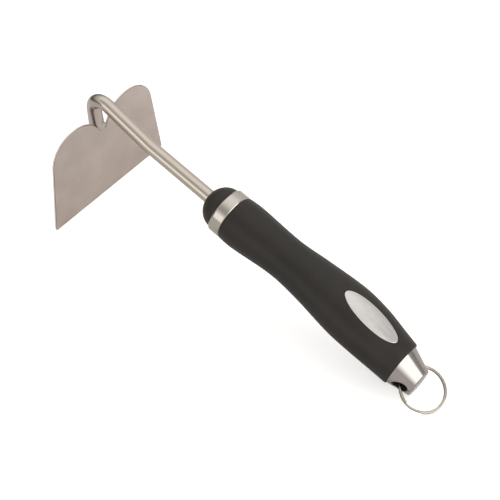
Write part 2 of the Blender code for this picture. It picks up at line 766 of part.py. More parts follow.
def main():
    """Build the hoe."""
    clear_scene()
    parts = new_collection("weeding_hoe")
    cutters = new_collection("cutters")
    guides = new_collection("frames")
    root = bpy.data.objects.new("hoe_frame", None)
    handle = bpy.data.objects.new("handle_frame", None)
    guides.objects.link(root)
    guides.objects.link(handle)
    handle.parent = root
    handle.location = along_handle(0.0, 0.0)
    handle.rotation_euler = (0.0, HANDLE_SLOPE, 0.0)

    sheet = make_material("satin stainless sheet", (0.40, 0.36, 0.32), 0.42, 1.0)
    bar = make_material("satin stainless bar", (0.62, 0.56, 0.50), 0.30, 1.0)
    weld = make_material("ground stainless weld", (0.38, 0.34, 0.30), 0.48, 1.0)
    soft = make_material("black soft-touch rubber", (0.035, 0.031, 0.027), 0.62, 0.0)
    core = make_material("black moulded core", (0.02, 0.02, 0.02), 0.5, 0.0)
    band = make_material("polished metal band", (0.66, 0.61, 0.56), 0.18, 1.0)
    satin = make_material("satin metal oval", (0.70, 0.67, 0.63), 0.38, 1.0)
    cast = make_material("polished cast metal", (0.68, 0.66, 0.64), 0.14, 1.0)
    wire = make_material("nickel-plated wire", (0.60, 0.54, 0.46), 0.20, 1.0)

    make_blade(parts, sheet, root)
    make_neck(parts, bar, root)
    make_bead("weld_left", -1.0, parts, weld, root)
    make_bead("weld_right", 1.0, parts, weld, root)
    make_notch_weld(parts, weld, root)
    make_nose_dome(parts, soft, handle)
    make_collar(parts, band, handle)
    make_handle_core(parts, core, handle)
    make_soft_grip(parts, cutters, soft, handle)
    make_oval_inlay(parts, satin, handle)
    make_end_cap(parts, cutters, cast, handle)
    make_split_ring(parts, wire, root)
    centre_on_origin(root, parts)


main()
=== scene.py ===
"""Weeding hoe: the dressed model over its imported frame, with its finishes and a plain studio.

Metres, +Z up. +X runs from the blade to the butt, and the XZ plane is the plane of symmetry. The
handle's pieces are drawn along the handle's own axis and then tilted into the hoe's frame.
"""

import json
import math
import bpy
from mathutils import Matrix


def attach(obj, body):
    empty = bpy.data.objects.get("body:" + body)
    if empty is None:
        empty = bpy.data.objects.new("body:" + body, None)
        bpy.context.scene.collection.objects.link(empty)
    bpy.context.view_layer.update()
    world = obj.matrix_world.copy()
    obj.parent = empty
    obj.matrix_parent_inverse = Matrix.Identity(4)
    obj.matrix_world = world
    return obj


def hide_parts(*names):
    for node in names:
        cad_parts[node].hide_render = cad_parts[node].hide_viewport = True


bl_info = {
    "name": "Weeding Hoe",
    "version": (1, 0, 0),
    "blender": (4, 5, 0),
    "location": "3D View > Sidebar > Weeding Hoe",
    "description": "Builds the hoe's visible pieces, their finishes and a plain studio",
    "category": "Add Mesh",
}

import bmesh
import bpy
from bpy.props import FloatProperty, FloatVectorProperty, PointerProperty
from mathutils import Matrix, Vector

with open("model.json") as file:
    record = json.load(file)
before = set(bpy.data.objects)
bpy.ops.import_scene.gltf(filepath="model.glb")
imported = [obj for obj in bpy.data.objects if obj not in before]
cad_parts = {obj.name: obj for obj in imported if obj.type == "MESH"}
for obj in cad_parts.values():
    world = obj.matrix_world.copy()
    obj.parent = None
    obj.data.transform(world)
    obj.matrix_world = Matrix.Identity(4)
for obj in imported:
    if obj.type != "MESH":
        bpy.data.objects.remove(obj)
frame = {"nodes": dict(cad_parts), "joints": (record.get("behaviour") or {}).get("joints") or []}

PIVOT = Vector(frame["joints"][0]["pos_m"])
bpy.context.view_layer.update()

# Clearance that the CAD model leaves between its pieces
FIT = 0.0003

# Blade
BLADE_LEAN = math.radians(1.2)
BLADE_CORNER_RADIUS = 0.0012
LOBE_CENTRE = (0.0239, 0.0500)
BLADE_REACH = 0.1031

# Neck
TANG_LENGTH = 0.092
TANG_POINT = 0.003
TANG_TIP_SHARE = 0.6
NECK_STRAIGHT = 0.0634
NECK_KINK = math.radians(7.34)
NECK_KINK_RADIUS = 0.045
FOOT_HALF_WIDTH = 0.0046
FOOT_FRONT_DEPTH = 0.0049
FOOT_BACK_DEPTH = 0.0045
FOOT_SQUARENESS = 3.4
FOOT_END_HEIGHT = 0.027
FOOT_PRESSED_TOP = 0.060
FOOT_ROUND_TOP = 0.077

# Fillet welds behind the blade: they run out thin at both ends
BEAD_TOP = 0.050
BEAD_RUN_OUT = 0.003
BEAD_END_SHARE = 0.45
BEAD_RIPPLE_SHARE = 0.07
BEAD_LEG_SHARE = 0.95
BEAD_DEPTH_SHARE = 0.96

# Weld ground to a slope in the notch, by turns round the centre of the notch's bottom
NOTCH_WELD_START = math.radians(10)
NOTCH_WELD_END = math.radians(72)
NOTCH_WELD_SIDE_GAP = 0.0005
NOTCH_WELD_HOLLOW = 0.0001

# Handle
HANDLE_SLOPE = math.radians(12.9)
NOSE_LENGTH = 0.0115
NOSE_FULL_LENGTH = 0.0124
NOSE_RADIUS = 0.0140
NOSE_SHORT_TURN = math.radians(3)
NOSE_BORE_ROUND = 0.0003
COLLAR_LENGTH = 0.0081
COLLAR_FRONT_ROUND = 0.0016
COLLAR_CRISP_ROUND = 0.00006
COLLAR_LAST_RING = 0.0004
CORE_SPIGOT_RADIUS = 0.0115
GRIP_LENGTH = 0.1360
GRIP_WALL = 0.0026
GRIP_FRONT_LIP = 0.0009
GRIP_FIRST_SECTION = 0.0012
GRIP_START = COLLAR_LENGTH + FIT
GRIP_END = GRIP_START + GRIP_LENGTH

# Form of the grip, from its front: place, rise of the centre, half width and half height
GRIP_STATIONS = (
    (0.0000, 0.0000, 0.0153, 0.0153),
    (0.0095, 0.0005, 0.0158, 0.0156),
    (0.0420, 0.0029, 0.0140, 0.0132),
    (0.0642, 0.0037, 0.0158, 0.0140),
    (0.0915, 0.0025, 0.0187, 0.0154),
    (0.1095, 0.0006, 0.0182, 0.0150),
    (0.1262, -0.0027, 0.0161, 0.0147),
    (GRIP_LENGTH, -0.0048, 0.0148, 0.0148),
)

# Oval inlay and its window: the shares are how far its inner rings are drawn in
OVAL_PLACE = GRIP_START + 0.1062
OVAL_ROLL = 0.0007
OVAL_SHARES = (0.06, 0.18, 0.32, 0.48, 0.66, 0.84)
WINDOW_GAP = 0.7 * FIT
WINDOW_DEPTH = 0.0019
WINDOW_FLARE_REACH = 0.0010
WINDOW_CUT_BOTTOM = 0.002
WINDOW_CUT_TOP = 0.030

# End cap and its holes
CAP_START = GRIP_END + FIT
CAP_LENGTH = 0.0150
CAP_BASE_RADIUS = 0.0136
CAP_END_RADIUS = 0.0092
CAP_BASE_RISE = -0.0053
CAP_END_RISE = -0.0091
CAP_WALL = 0.0017
CAP_PLATED_SHARE = 0.7
CAP_END_RINGS = (1.3, 3.0)
HOLE_PLACE = CAP_START + 0.0075
HOLE_RISE = -0.0078
HOLE_HALF_LENGTH = 0.0050
HOLE_HALF_HEIGHT = 0.0040
HOLE_FLARE_REACH = 0.0008
HOLE_CUT_REACH = 0.020
CUT_CLEARANCE = 0.0002

# Split ring: the shares are the sizes of the wire's first and last sections
RING_STEP_ANGLE = math.radians(45)
RING_STEP_PLACE = math.radians(-97)
RING_TWIST = math.radians(5.9)
RING_FALL = math.radians(21.558)
RING_REACH = 0.0102
RING_SIDE_SHIFT = -0.0006
RING_SAG = 0.0004
WIRE_SQUARENESS = 2.1
WIRE_END_SHARES = (0.72, 0.93, 1.0)
PIVOT_PLACE = CAP_START + 0.0088
PIVOT_RISE = -0.0082

# Camera: fitted to the photograph, in the hoe's frame
CAMERA_PLACE = (0.353608, -0.428377, 0.708658)
CAMERA_RIGHT = (0.76245681, 0.64702866, 0.00367765)
CAMERA_UP = (-0.50092957, 0.58667736, 0.63630123)
CAMERA_BACK = (0.40954754, -0.48699444, 0.77143193)
CAMERA_LENS = 101.431
CAMERA_SENSOR = 36.0
CAMERA_SHIFT = (-0.001, 0.001)
CAMERA_CLIP = (0.05, 20.0)

# Studio: the floor, the lamp, and where the cards stand round the hoe
FLOOR_HALF_SIZE = 3.0
KEY_PLACE = (0.45, 0.55, 1.0)
KEY_SIZE = 0.8
TOP_CARD_Z = 1.1
TOP_CORNER_CARD_Z = 1.09
FRONT_CARD_Y = -1.25
BACK_CARD_Y = 1.5
BUTT_CARD_X = 1.2
BUTT_STRIP_X = 1.3
BLADE_CARD_X = -0.55

# The floor's own light: the lift is for the eye alone, and the glow for the eye and for metal
FLOOR_LIFT = 0.50
FLOOR_GLOW = 0.04

# Painted highlight and shade on the sheet's rim: half its painted bright middle as a share of the sheet,
# and the greys that its tone is multiplied by, from the rim itself at 0 to the sheet's flat faces at 1
RIM_HIGHLIGHT_SHARE = 0.18
FLAT_SHADE = 0.55
RIM_SHADES = ((0.0, 1.0), (0.3, 1.0), (0.4, 0.2), (0.88, 0.25), (1.0, FLAT_SHADE))

# The tumbled foot: a line down the bar with the reach over which the tumbling begins, and the way
# that the surface faces where a dark reflection is painted along the front's edge
FOOT_LINE = (0.8, 0.0, 1.0)
FOOT_LINE_REACH = (-0.0300, -0.0340)
FOOT_PAINTED_SHADE_FACING = (0.47, -0.88, 0.0)

# Points round a section
BAR_SIDES = 64
HANDLE_SIDES = 128
OVAL_SIDES = 160
HOLE_SIDES = 96
WIRE_SIDES = 24
BEAD_SIDES = 14
NOTCH_WELD_SIDES = 24

# Steps along a form
BLADE_CORNER_STEPS = 10
LOBE_STEPS = 110
NOTCH_STEPS = 26
NECK_RUN_STEPS = (24, 24, 60)
NECK_TURN_STEPS = 80
BEAD_STEPS = 120
NOTCH_WELD_STEPS = 36
NOSE_STEPS = 48
COLLAR_ROUND_STEPS = 16
GRIP_STEPS = 150
GRIP_BORE_STEPS = 20
CAP_STEPS = 40
CAP_BORE_STEPS = 12
CAP_RIM_STEPS = 12
WIRE_STEPS = 380
BLADE_EDGE_STEPS = 6
ROUND_STEPS = 8
SMOOTH_ANGLE = math.radians(40)

WHITE = (1.0, 1.0, 1.0, 1.0)


def to_linear(code):
    """Turn an sRGB hex colour into linear red, green and blue."""
    channels = [int(code[start:start + 2], 16) / 255 for start in (1, 3, 5)]
    return tuple(c / 12.92 if c <= 0.04045 else ((c + 0.055) / 1.055) ** 2.4 for c in channels)


def length(name, description, default):
    """A size property in metres."""
    return FloatProperty(name=name, description=description, default=default, unit="LENGTH", precision=5)


def amount(name, description, default):
    """A property that is a plain number."""
    return FloatProperty(name=name, description=description, default=default)


def colour(name, description, code):
    """A colour property from its hex value."""
    return FloatVectorProperty(
        name=name, description=description, default=to_linear(code), subtype="COLOR", min=0.0, max=1.0
    )


class HoeSizes(bpy.types.PropertyGroup):
    """Sizes of the visible pieces"""

    blade_thickness: length("Blade thickness", "Thickness of the stamped sheet", 0.0015)
    blade_half_width: length("Blade half width", "Half the length of the working edge", 0.0511)
    blade_edge_round: length("Blade edge round", "Rounding of the sheet's rim", 0.00035)
    lobe_radius: length("Lobe radius", "Radius of each lobe of the blade", 0.0214)
    notch_radius: length("Notch radius", "Radius at the bottom of the notch", 0.0042)
    bar_radius: length("Bar radius", "Radius of the neck's bar", 0.0045)
    gooseneck_radius: length("Gooseneck radius", "Bend of the bar over the blade", 0.0105)
    bead_size: length("Bead size", "Leg of the fillet welds behind the blade", 0.0028)
    bead_ripple: length("Bead ripple", "Distance between the ripples of a weld bead", 0.0013)
    weld_overlap: length("Weld overlap", "How far a weld runs into the metal beside it", 0.00006)
    collar_radius: length("Collar radius", "Outer radius of the metal band", 0.0154)
    collar_bevel: length("Collar bevel", "Bright bevel at the band's rear", 0.0006)
    collar_reach: length("Collar reach", "How far the band closes the gaps at its ends", 0.0002)
    lip_round: length("Lip round", "Rounding of the grip's rear lip", 0.0009)
    window_round: length("Window round", "Rounding of the rubber round the oval", 0.0003)
    oval_half_length: length("Oval half length", "Half the length of the oval inlay", 0.0211)
    oval_half_width: length("Oval half width", "Half the width of the oval inlay", 0.0071)
    oval_proud: length("Oval proud", "Height of the oval over the rubber", 0.0003)
    cap_rim_round: length("Cap rim round", "Rounding of the end cap's rim", 0.0010)
    hole_round: length("Hole round", "Rounding of the edge of the cap's holes", 0.0006)
    ring_radius: length("Ring radius", "Radius of the ring's coils", 0.0142)
    wire_width: length("Wire width", "Width of the ring's flat wire", 0.0015)
    wire_height: length("Wire height", "Height of the ring's flat wire", 0.0008)
    coil_gap: length("Coil gap", "Gap between the ring's two coils", 0.00055)


class HoeColours(bpy.types.PropertyGroup):
    """Colours of the finishes"""

    blade: colour("Blade", "Satin stainless sheet", "#C3B8B1")
    bar: colour("Bar", "Drawn stainless bar", "#B6ACA0")
    weld: colour("Weld", "Stainless weld metal", "#9C928B")
    heat_tint: colour("Heat tint", "Straw tint beside the weld beads", "#9C8866")
    rubber: colour("Rubber", "Moulded soft-touch rubber", "#241F19")
    core: colour("Core", "Moulded core", "#141312")
    band: colour("Band", "Turned aluminium band", "#B3ACA3")
    oval: colour("Oval", "Blasted aluminium oval", "#BEBAB6")
    cap: colour("Cap", "Plated zinc cap", "#A6A09C")
    # The cap's inside: as-cast zinc, darkened as painted shade in the hollow
    cast: colour("Cap inside", "As-cast zinc inside the cap", "#645F58")
    wire: colour("Wire", "Plated spring wire", "#9F978C")
    floor: colour("Floor", "Studio floor", "#F4F0EC")


class HoeStudio(bpy.types.PropertyGroup):
    """Strength of the studio's lights"""

    world_light: amount("World light", "Soft light from all round", 0.75)
    key_power: amount("Key power", "Large lamp over the hoe, in watts", 3.0)
    card_light: amount("Card light", "Brightness of the white cards", 1.37)
    card_dark: amount("Card dark", "Brightness of the dark cards", 0.62)


# --- shapes -------------------------------------------------------------------------------------


def mesh_from(name, points, faces):
    """Make a mesh with its faces turned outwards."""
    mesh = bpy.data.meshes.new(name)
    mesh.from_pydata([tuple(point) for point in points], [], faces)
    bm = bmesh.new()
    bm.from_mesh(mesh)
    bmesh.ops.recalc_face_normals(bm, faces=bm.faces)
    bm.to_mesh(mesh)
    bm.free()
    return mesh


def loft(name, rings, ring_loop=False):
    """Join rings of equally many points into a closed form; with ring_loop the last joins the first."""
    count = len(rings[0])
    points = [point for ring in rings for point in ring]
    faces = []
    last = len(rings) if ring_loop else len(rings) - 1
    for row in range(last):
        below = row * count
        above = (row + 1) % len(rings) * count
        for side in range(count):
            after = (side + 1) % count
            faces.append((below + side, below + after, above + after, above + side))
    if not ring_loop:
        faces.append(tuple(range(count)))
        faces.append(tuple(range((len(rings) - 1) * count, len(rings) * count)))
    return mesh_from(name, points, faces)


def turned(name, profile):
    """Sweep a closed profile of (place, radius) points round the handle's axis."""
    rings = [
        [Vector((place, radius * math.cos(turn), radius * math.sin(turn))) for place, radius in profile]
        for turn in full_turn(HANDLE_SIDES)
    ]
    return loft(name, rings, ring_loop=True)


def full_turn(sides):
    """Turns of the points round a section."""
    return [2 * math.pi * side / sides for side in range(sides)]


def even_places(start, end, steps):
    """Evenly spaced places, both ends included."""
    return [start + (end - start) * step / steps for step in range(steps + 1)]


def arc(centre, radius, start, end, steps):
    """Points of a round stretch, both ends included."""
    turns = even_places(start, end, steps)
    return [(centre[0] + radius * math.cos(turn), centre[1] + radius * math.sin(turn)) for turn in turns]


def quarter(steps):
    """Shares of a rounded edge: how far it has come in, and how far it still is from the end."""
    turns = even_places(0.0, math.pi / 2, steps)
    return [(1 - math.cos(turn), 1 - math.sin(turn)) for turn in turns]


def ease(value):
    """Rise smoothly from 0 to 1."""
    value = min(max(value, 0.0), 1.0)
    return value * value * (3.0 - 2.0 * value)


def squared(value, power):
    """A sine or cosine raised to a power with its sign kept: a power under 1 squares the section."""
    return math.copysign(abs(value) ** power, value)


def smooth_between(stations, place):
    """Read a smooth curve through stations, each a place followed by its values."""
    last = len(stations) - 2
    index = next((i for i in range(last) if place <= stations[i + 1][0]), last)
    before = stations[max(index - 1, 0)]
    start = stations[index]
    end = stations[index + 1]
    after = stations[min(index + 2, last + 1)]
    span = end[0] - start[0]
    part = (place - start[0]) / span
    values = []
    for k in range(1, len(start)):
        slope_in = (end[k] - before[k]) / (end[0] - before[0]) * span
        slope_out = (after[k] - start[k]) / (after[0] - start[0]) * span
        values.append(
            (2 * part ** 3 - 3 * part ** 2 + 1) * start[k]
            + (part ** 3 - 2 * part ** 2 + part) * slope_in
            + (3 * part ** 2 - 2 * part ** 3) * end[k]
            + (part ** 3 - part ** 2) * slope_out
        )
    return values


def oval_section(place, rise, half_width, half_height):
    """One section across the handle's axis."""
    return [
        Vector((place, half_width * math.cos(turn), rise + half_height * math.sin(turn)))
        for turn in full_turn(HANDLE_SIDES)
    ]


def grip_section(place, inset):
    """A section of the grip, drawn in by inset."""
    rise, half_width, half_height = smooth_between(GRIP_STATIONS, place - GRIP_START)
    return oval_section(place, rise, half_width - inset, half_height - inset)


def grip_top(place, across, inset):
    """Height of the grip's upper surface, drawn in by inset."""
    rise, half_width, half_height = smooth_between(GRIP_STATIONS, place - GRIP_START)
    return rise + (half_height - inset) * math.sqrt(1 - (across / (half_width - inset)) ** 2)


def cap_form(place):
    """Radius and centre rise of the end cap at a place from its base."""
    share = place / CAP_LENGTH
    radius = CAP_BASE_RADIUS + (CAP_END_RADIUS - CAP_BASE_RADIUS) * share
    return radius, CAP_BASE_RISE + (CAP_END_RISE - CAP_BASE_RISE) * share


def cap_rim(sizes):
    """The rounded rim of the end cap: places from its base and how far each is drawn in."""
    rim = sizes.cap_rim_round
    return [(CAP_LENGTH - rim * ahead, rim * inwards) for inwards, ahead in quarter(CAP_RIM_STEPS)]


def handle_height(sizes):
    """Height of the collar's front over the table: the end cap's lower rim rests on it."""
    reaches = []
    for place, inset in cap_rim(sizes):
        radius, rise = cap_form(place)
        across = (radius - inset - rise) * math.cos(HANDLE_SLOPE)
        reaches.append((CAP_START + place) * math.sin(HANDLE_SLOPE) + across)
    return max(reaches)


def handle_matrix(sizes):
    """Place of the handle: its own X runs along its axis from the collar's front."""
    tilt = Matrix.Rotation(HANDLE_SLOPE, 4, "Y")
    reach = tilt @ Vector((PIVOT_PLACE, 0.0, PIVOT_RISE))
    return Matrix.Translation((PIVOT.x - reach.x, 0.0, handle_height(sizes))) @ tilt


def blade_matrix(sizes):
    """Place of the blade: its own X runs across the hoe, its Y up, its Z towards the handle."""
    lean = BLADE_LEAN
    turn = Matrix((
        (0.0, -math.sin(lean), math.cos(lean)),
        (1.0, 0.0, 0.0),
        (0.0, math.cos(lean), math.sin(lean)),
    )).to_4x4()
    collar = handle_matrix(sizes).translation.x
    lift = sizes.blade_thickness / 2 * math.sin(lean)
    return Matrix.Translation((collar - BLADE_REACH, 0.0, lift)) @ turn


def ring_matrix():
    """Place of the split ring: its pivot in the cap's holes, turned as it lies on the table."""
    turn = Matrix.Rotation(RING_FALL, 4, "Y") @ Matrix.Rotation(RING_TWIST, 4, "X")
    return Matrix.Translation(PIVOT) @ turn


def notch_centre(sizes):
    """Height on the blade of the centre of the notch's rounded bottom."""
    reach = sizes.lobe_radius + sizes.notch_radius
    return LOBE_CENTRE[1] + math.sqrt(reach ** 2 - LOBE_CENTRE[0] ** 2)


def blade_outline(sizes, inset):
    """The blade's outline from the middle of its edge, drawn in by inset."""
    lobe = sizes.lobe_radius
    half = sizes.blade_half_width
    reach = math.hypot(half - LOBE_CENTRE[0], LOBE_CENTRE[1])
    side = math.atan2(LOBE_CENTRE[1], LOBE_CENTRE[0] - half) - math.asin(lobe / reach)
    corner = (half - BLADE_CORNER_RADIUS * math.tan(side / 2), BLADE_CORNER_RADIUS)
    bottom = (0.0, notch_centre(sizes))
    into_notch = math.atan2(bottom[1] - LOBE_CENTRE[1], -LOBE_CENTRE[0])
    up = side - math.pi / 2
    right = arc(corner, BLADE_CORNER_RADIUS - inset, -math.pi / 2, up, BLADE_CORNER_STEPS)
    right += arc(LOBE_CENTRE, lobe - inset, up, into_notch, LOBE_STEPS)
    notch = arc(bottom, sizes.notch_radius + inset, into_notch - math.pi, -into_notch, NOTCH_STEPS)
    left = [(-across, up) for across, up in reversed(right)]
    return right + notch[1:-1] + left


def blade_mesh(sizes):
    """The sheet: a flat face on each side, and a rounded rim with a level strip inside it."""
    half = sizes.blade_thickness / 2
    edge = sizes.blade_edge_round
    levels = [(2 * edge, half)]
    levels += [(edge * ahead, half - edge * inwards) for inwards, ahead in quarter(BLADE_EDGE_STEPS)]
    levels += [(inset, -height) for inset, height in reversed(levels)]
    rings = [
        [Vector((across, up, height)) for across, up in blade_outline(sizes, inset)]
        for inset, height in levels
    ]
    return loft("blade_sheet", rings)


def leg_point(sizes, height):
    """Point of the foot's axis, behind the blade, at a height over its edge."""
    behind = sizes.blade_thickness / 2 + FIT + FOOT_FRONT_DEPTH
    return blade_matrix(sizes) @ Vector((0.0, height, -behind))


def neck_corners(sizes):
    """Corners of the bar's centre line: tang end, kink, top of the gooseneck, foot end."""
    handle = handle_matrix(sizes)
    tang = handle @ Vector((TANG_LENGTH, 0.0, 0.0))
    kink = handle @ Vector((-NECK_STRAIGHT, 0.0, 0.0))
    rise = HANDLE_SLOPE + NECK_KINK
    run = Vector((-math.cos(rise), 0.0, math.sin(rise)))
    foot = leg_point(sizes, FOOT_END_HEIGHT)
    up = (leg_point(sizes, FOOT_ROUND_TOP) - foot).normalized()
    gap = foot - kink
    reach = (gap.z * up.x - gap.x * up.z) / (run.z * up.x - run.x * up.z)
    return [tang, kink, kink + run * reach, foot]


def rounded_path(corners, radii, run_steps, turn_steps):
    """Points of a route in the XZ plane with its corners rounded."""
    points = [corners[0]]
    for before, corner, after, radius, steps in zip(corners, corners[1:], corners[2:], radii, run_steps):
        back = (before - corner).normalized()
        onward = (after - corner).normalized()
        turn = math.pi - back.angle(onward)
        centre = corner + (back + onward).normalized() * (radius / math.cos(turn / 2))
        entry = corner + back * (radius * math.tan(turn / 2))
        points += [points[-1].lerp(entry, step / steps) for step in range(1, steps + 1)]
        spoke = entry - centre
        axis = back.cross(onward)
        count = max(4, round(turn_steps * turn / math.pi))
        for step in range(1, count + 1):
            points.append(centre + Matrix.Rotation(-turn * step / count, 3, axis) @ spoke)
    start = points[-1]
    steps = run_steps[-1]
    return points + [start.lerp(corners[-1], step / steps) for step in range(1, steps + 1)]


def foot_share(sizes, point):
    """How far the bar is pressed to the foot's section at a point: 0 is round, 1 is fully pressed."""
    place = blade_matrix(sizes).inverted() @ point
    if place.z > 0.0:
        return 0.0
    return ease((FOOT_ROUND_TOP - place.y) / (FOOT_ROUND_TOP - FOOT_PRESSED_TOP))


def bar_section(sizes, point, tangent, shrink):
    """One section of the bar: round, or pressed flat on the side that faces the blade."""
    across = Vector((0.0, 1.0, 0.0))
    front = tangent.cross(across)
    share = foot_share(sizes, point)
    power = 2.0 / FOOT_SQUARENESS
    ring = []
    for turn in full_turn(BAR_SIDES):
        forward = math.cos(turn)
        sideways = math.sin(turn)
        if forward > 0:
            flat_front = FOOT_FRONT_DEPTH * squared(forward, power)
            flat_side = FOOT_HALF_WIDTH * squared(sideways, power)
        else:
            flat_front = FOOT_BACK_DEPTH * forward
            flat_side = FOOT_HALF_WIDTH * sideways
        depth = sizes.bar_radius * forward * (1 - share) + flat_front * share
        width = sizes.bar_radius * sideways * (1 - share) + flat_side * share
        ring.append(point + front * depth * shrink + across * width * shrink)
    return ring


def neck_mesh(sizes):
    """The bent bar, with a pointed tang and the pressed foot."""
    radii = (NECK_KINK_RADIUS, sizes.gooseneck_radius)
    route = rounded_path(neck_corners(sizes), radii, NECK_RUN_STEPS, NECK_TURN_STEPS)
    first = (route[1] - route[0]).normalized()
    rings = [bar_section(sizes, route[0] - first * TANG_POINT, first, TANG_TIP_SHARE)]
    for index, point in enumerate(route):
        before = route[max(index - 1, 0)]
        after = route[min(index + 1, len(route) - 1)]
        rings.append(bar_section(sizes, point, (after - before).normalized(), 1.0))
    return loft("neck_bar", rings)


def bead_mesh(sizes, side):
    """A rippled fillet weld in the corner between the foot's side and the back of the blade."""
    over = sizes.weld_overlap
    back = -sizes.blade_thickness / 2
    start = FOOT_HALF_WIDTH - over
    rings = []
    for height in even_places(FOOT_END_HEIGHT, BEAD_TOP, BEAD_STEPS):
        from_end = min(height - FOOT_END_HEIGHT, BEAD_TOP - height)
        swell = BEAD_END_SHARE + (1 - BEAD_END_SHARE) * math.sqrt(min(from_end / BEAD_RUN_OUT, 1.0))
        ripple = 1 + BEAD_RIPPLE_SHARE * abs(math.sin(math.pi * height / sizes.bead_ripple))
        size = sizes.bead_size * swell * ripple * BEAD_LEG_SHARE
        section = [(start, back + over)]
        for across, deep in arc((0.0, 0.0), size, 0.0, math.pi / 2, BEAD_SIDES):
            section.append((start + FIT + across, back + over - FIT - deep * BEAD_DEPTH_SHARE))
        section.append((start, back - FIT - size))
        rings.append([Vector((side * across, height, deep)) for across, deep in section])
    return loft("weld_bead", rings)


def notch_half_width(sizes, height, inset):
    """Half width of the notch at a height on the blade, drawn in by inset."""
    notch = sizes.notch_radius
    below = notch_centre(sizes) - height
    join = (notch_centre(sizes) - LOBE_CENTRE[1]) * notch / (sizes.lobe_radius + notch)
    if below > join:
        return math.sqrt(max((notch - inset) ** 2 - below ** 2, 0.0))
    up = height - LOBE_CENTRE[1]
    return LOBE_CENTRE[0] - math.sqrt((sizes.lobe_radius + inset) ** 2 - up ** 2)


def notch_weld_mesh(sizes):
    """The weld ground to a hollow slope, from the blade's face down to the foot's face."""
    over = sizes.weld_overlap
    face = sizes.blade_thickness / 2
    seat = -face - FIT - over
    widest = FOOT_HALF_WIDTH - NOTCH_WELD_SIDE_GAP
    low = math.cos(NOTCH_WELD_START)
    high = math.cos(NOTCH_WELD_END)
    rings = []
    for share in even_places(0.0, 1.0, NOTCH_WELD_STEPS):
        turn = NOTCH_WELD_START + (NOTCH_WELD_END - NOTCH_WELD_START) * share
        height = notch_centre(sizes) - (sizes.notch_radius + over) * math.cos(turn)
        half = min(notch_half_width(sizes, height, -over), widest)
        slope = (low - math.cos(turn)) / (low - high)
        edge = face * (1 - slope) + seat * slope
        section = [(-half, seat - over), (half, seat - over)]
        for across in even_places(1.0, -1.0, NOTCH_WELD_SIDES):
            hollow = NOTCH_WELD_HOLLOW * (1 - across ** 2) * math.sin(math.pi * share)
            section.append((half * across, edge - hollow))
        rings.append([Vector((across, height, deep)) for across, deep in section])
    return loft("weld_notch", rings)


def nose_mesh(sizes):
    """The soft dome: part of an ellipse, bored for the bar, with a soft edge at the bore."""
    end = math.acos(NOSE_LENGTH / NOSE_FULL_LENGTH) + NOSE_SHORT_TURN
    profile = [
        (-FIT - NOSE_FULL_LENGTH * math.cos(turn), NOSE_RADIUS * math.sin(turn))
        for turn in even_places(math.pi / 2, end, NOSE_STEPS)
    ]
    bore = sizes.bar_radius + sizes.weld_overlap
    front = -FIT - NOSE_LENGTH
    profile += [(front, bore + NOSE_BORE_ROUND), (front + NOSE_BORE_ROUND, bore), (-FIT, bore)]
    return turned("nose_dome", profile)


def collar_mesh(sizes):
    """The metal band: rounded at the dome, bevelled at the grip."""
    bore = CORE_SPIGOT_RADIUS + FIT
    radius = sizes.collar_radius
    start = -sizes.collar_reach
    end = COLLAR_LENGTH + sizes.collar_reach
    low = radius - sizes.collar_bevel
    bevel = end - sizes.collar_bevel
    crisp = COLLAR_CRISP_ROUND
    profile = [(end, bore), (end, low - crisp), (end - crisp, low), (bevel, radius - crisp)]
    profile += [(bevel - crisp, radius), (bevel - COLLAR_LAST_RING, radius)]
    centre = (start + COLLAR_FRONT_ROUND, radius - COLLAR_FRONT_ROUND)
    front = arc(centre, COLLAR_FRONT_ROUND, math.pi / 2, math.pi, COLLAR_ROUND_STEPS)
    return turned("collar_band", profile + front + [(start, bore)])


def grip_mesh(sizes):
    """The soft sleeve over the core, rounded at its front and at its rear lip."""
    lip = sizes.lip_round
    front = GRIP_FRONT_LIP
    rounding = quarter(ROUND_STEPS)
    first = GRIP_START + GRIP_FIRST_SECTION
    outside = [(GRIP_START + front * ahead, front * inwards) for inwards, ahead in rounding[::-1]]
    outside += [(place, 0.0) for place in even_places(first, GRIP_END - lip, GRIP_STEPS)]
    outside += [(GRIP_END - lip * ahead, lip * inwards) for inwards, ahead in rounding[1:]]
    bore = [(place, GRIP_WALL) for place in even_places(GRIP_END, GRIP_START, GRIP_BORE_STEPS)]
    rings = [grip_section(place, inset) for place, inset in outside + bore]
    return loft("grip_sleeve", rings, ring_loop=True)


def oval_ring(sizes, inset, depth, wall):
    """The oval's outline drawn in by inset, at a height over the grip's surface less a wall."""
    ring = []
    for turn in full_turn(OVAL_SIDES):
        place = OVAL_PLACE + (sizes.oval_half_length - inset) * math.cos(turn)
        across = (sizes.oval_half_width - inset) * math.sin(turn)
        ring.append(Vector((place, across, grip_top(place, across, wall) + depth)))
    return ring


def oval_mesh(sizes):
    """The crowned oval plate: it follows the grip, slightly proud, with its rim rolled down."""
    proud = sizes.oval_proud
    insets = [sizes.oval_half_width * share for share in OVAL_SHARES]
    rings = [oval_ring(sizes, inset, proud, 0.0) for inset in reversed(insets)]
    for inwards, ahead in quarter(ROUND_STEPS):
        rings.append(oval_ring(sizes, OVAL_ROLL * ahead, proud - OVAL_ROLL * inwards, 0.0))
    rings += [oval_ring(sizes, inset, 0.0, GRIP_WALL) for inset in [0.0] + insets]
    return loft("oval_plate", rings)


def flare_levels(flare, reach):
    """Levels of a cutter that rounds the edge it leaves: how much wider and how high each one is."""
    levels = [(flare * inwards, -flare * ahead) for inwards, ahead in quarter(ROUND_STEPS)[:-1]]
    return levels + [(flare + reach, CUT_CLEARANCE)]


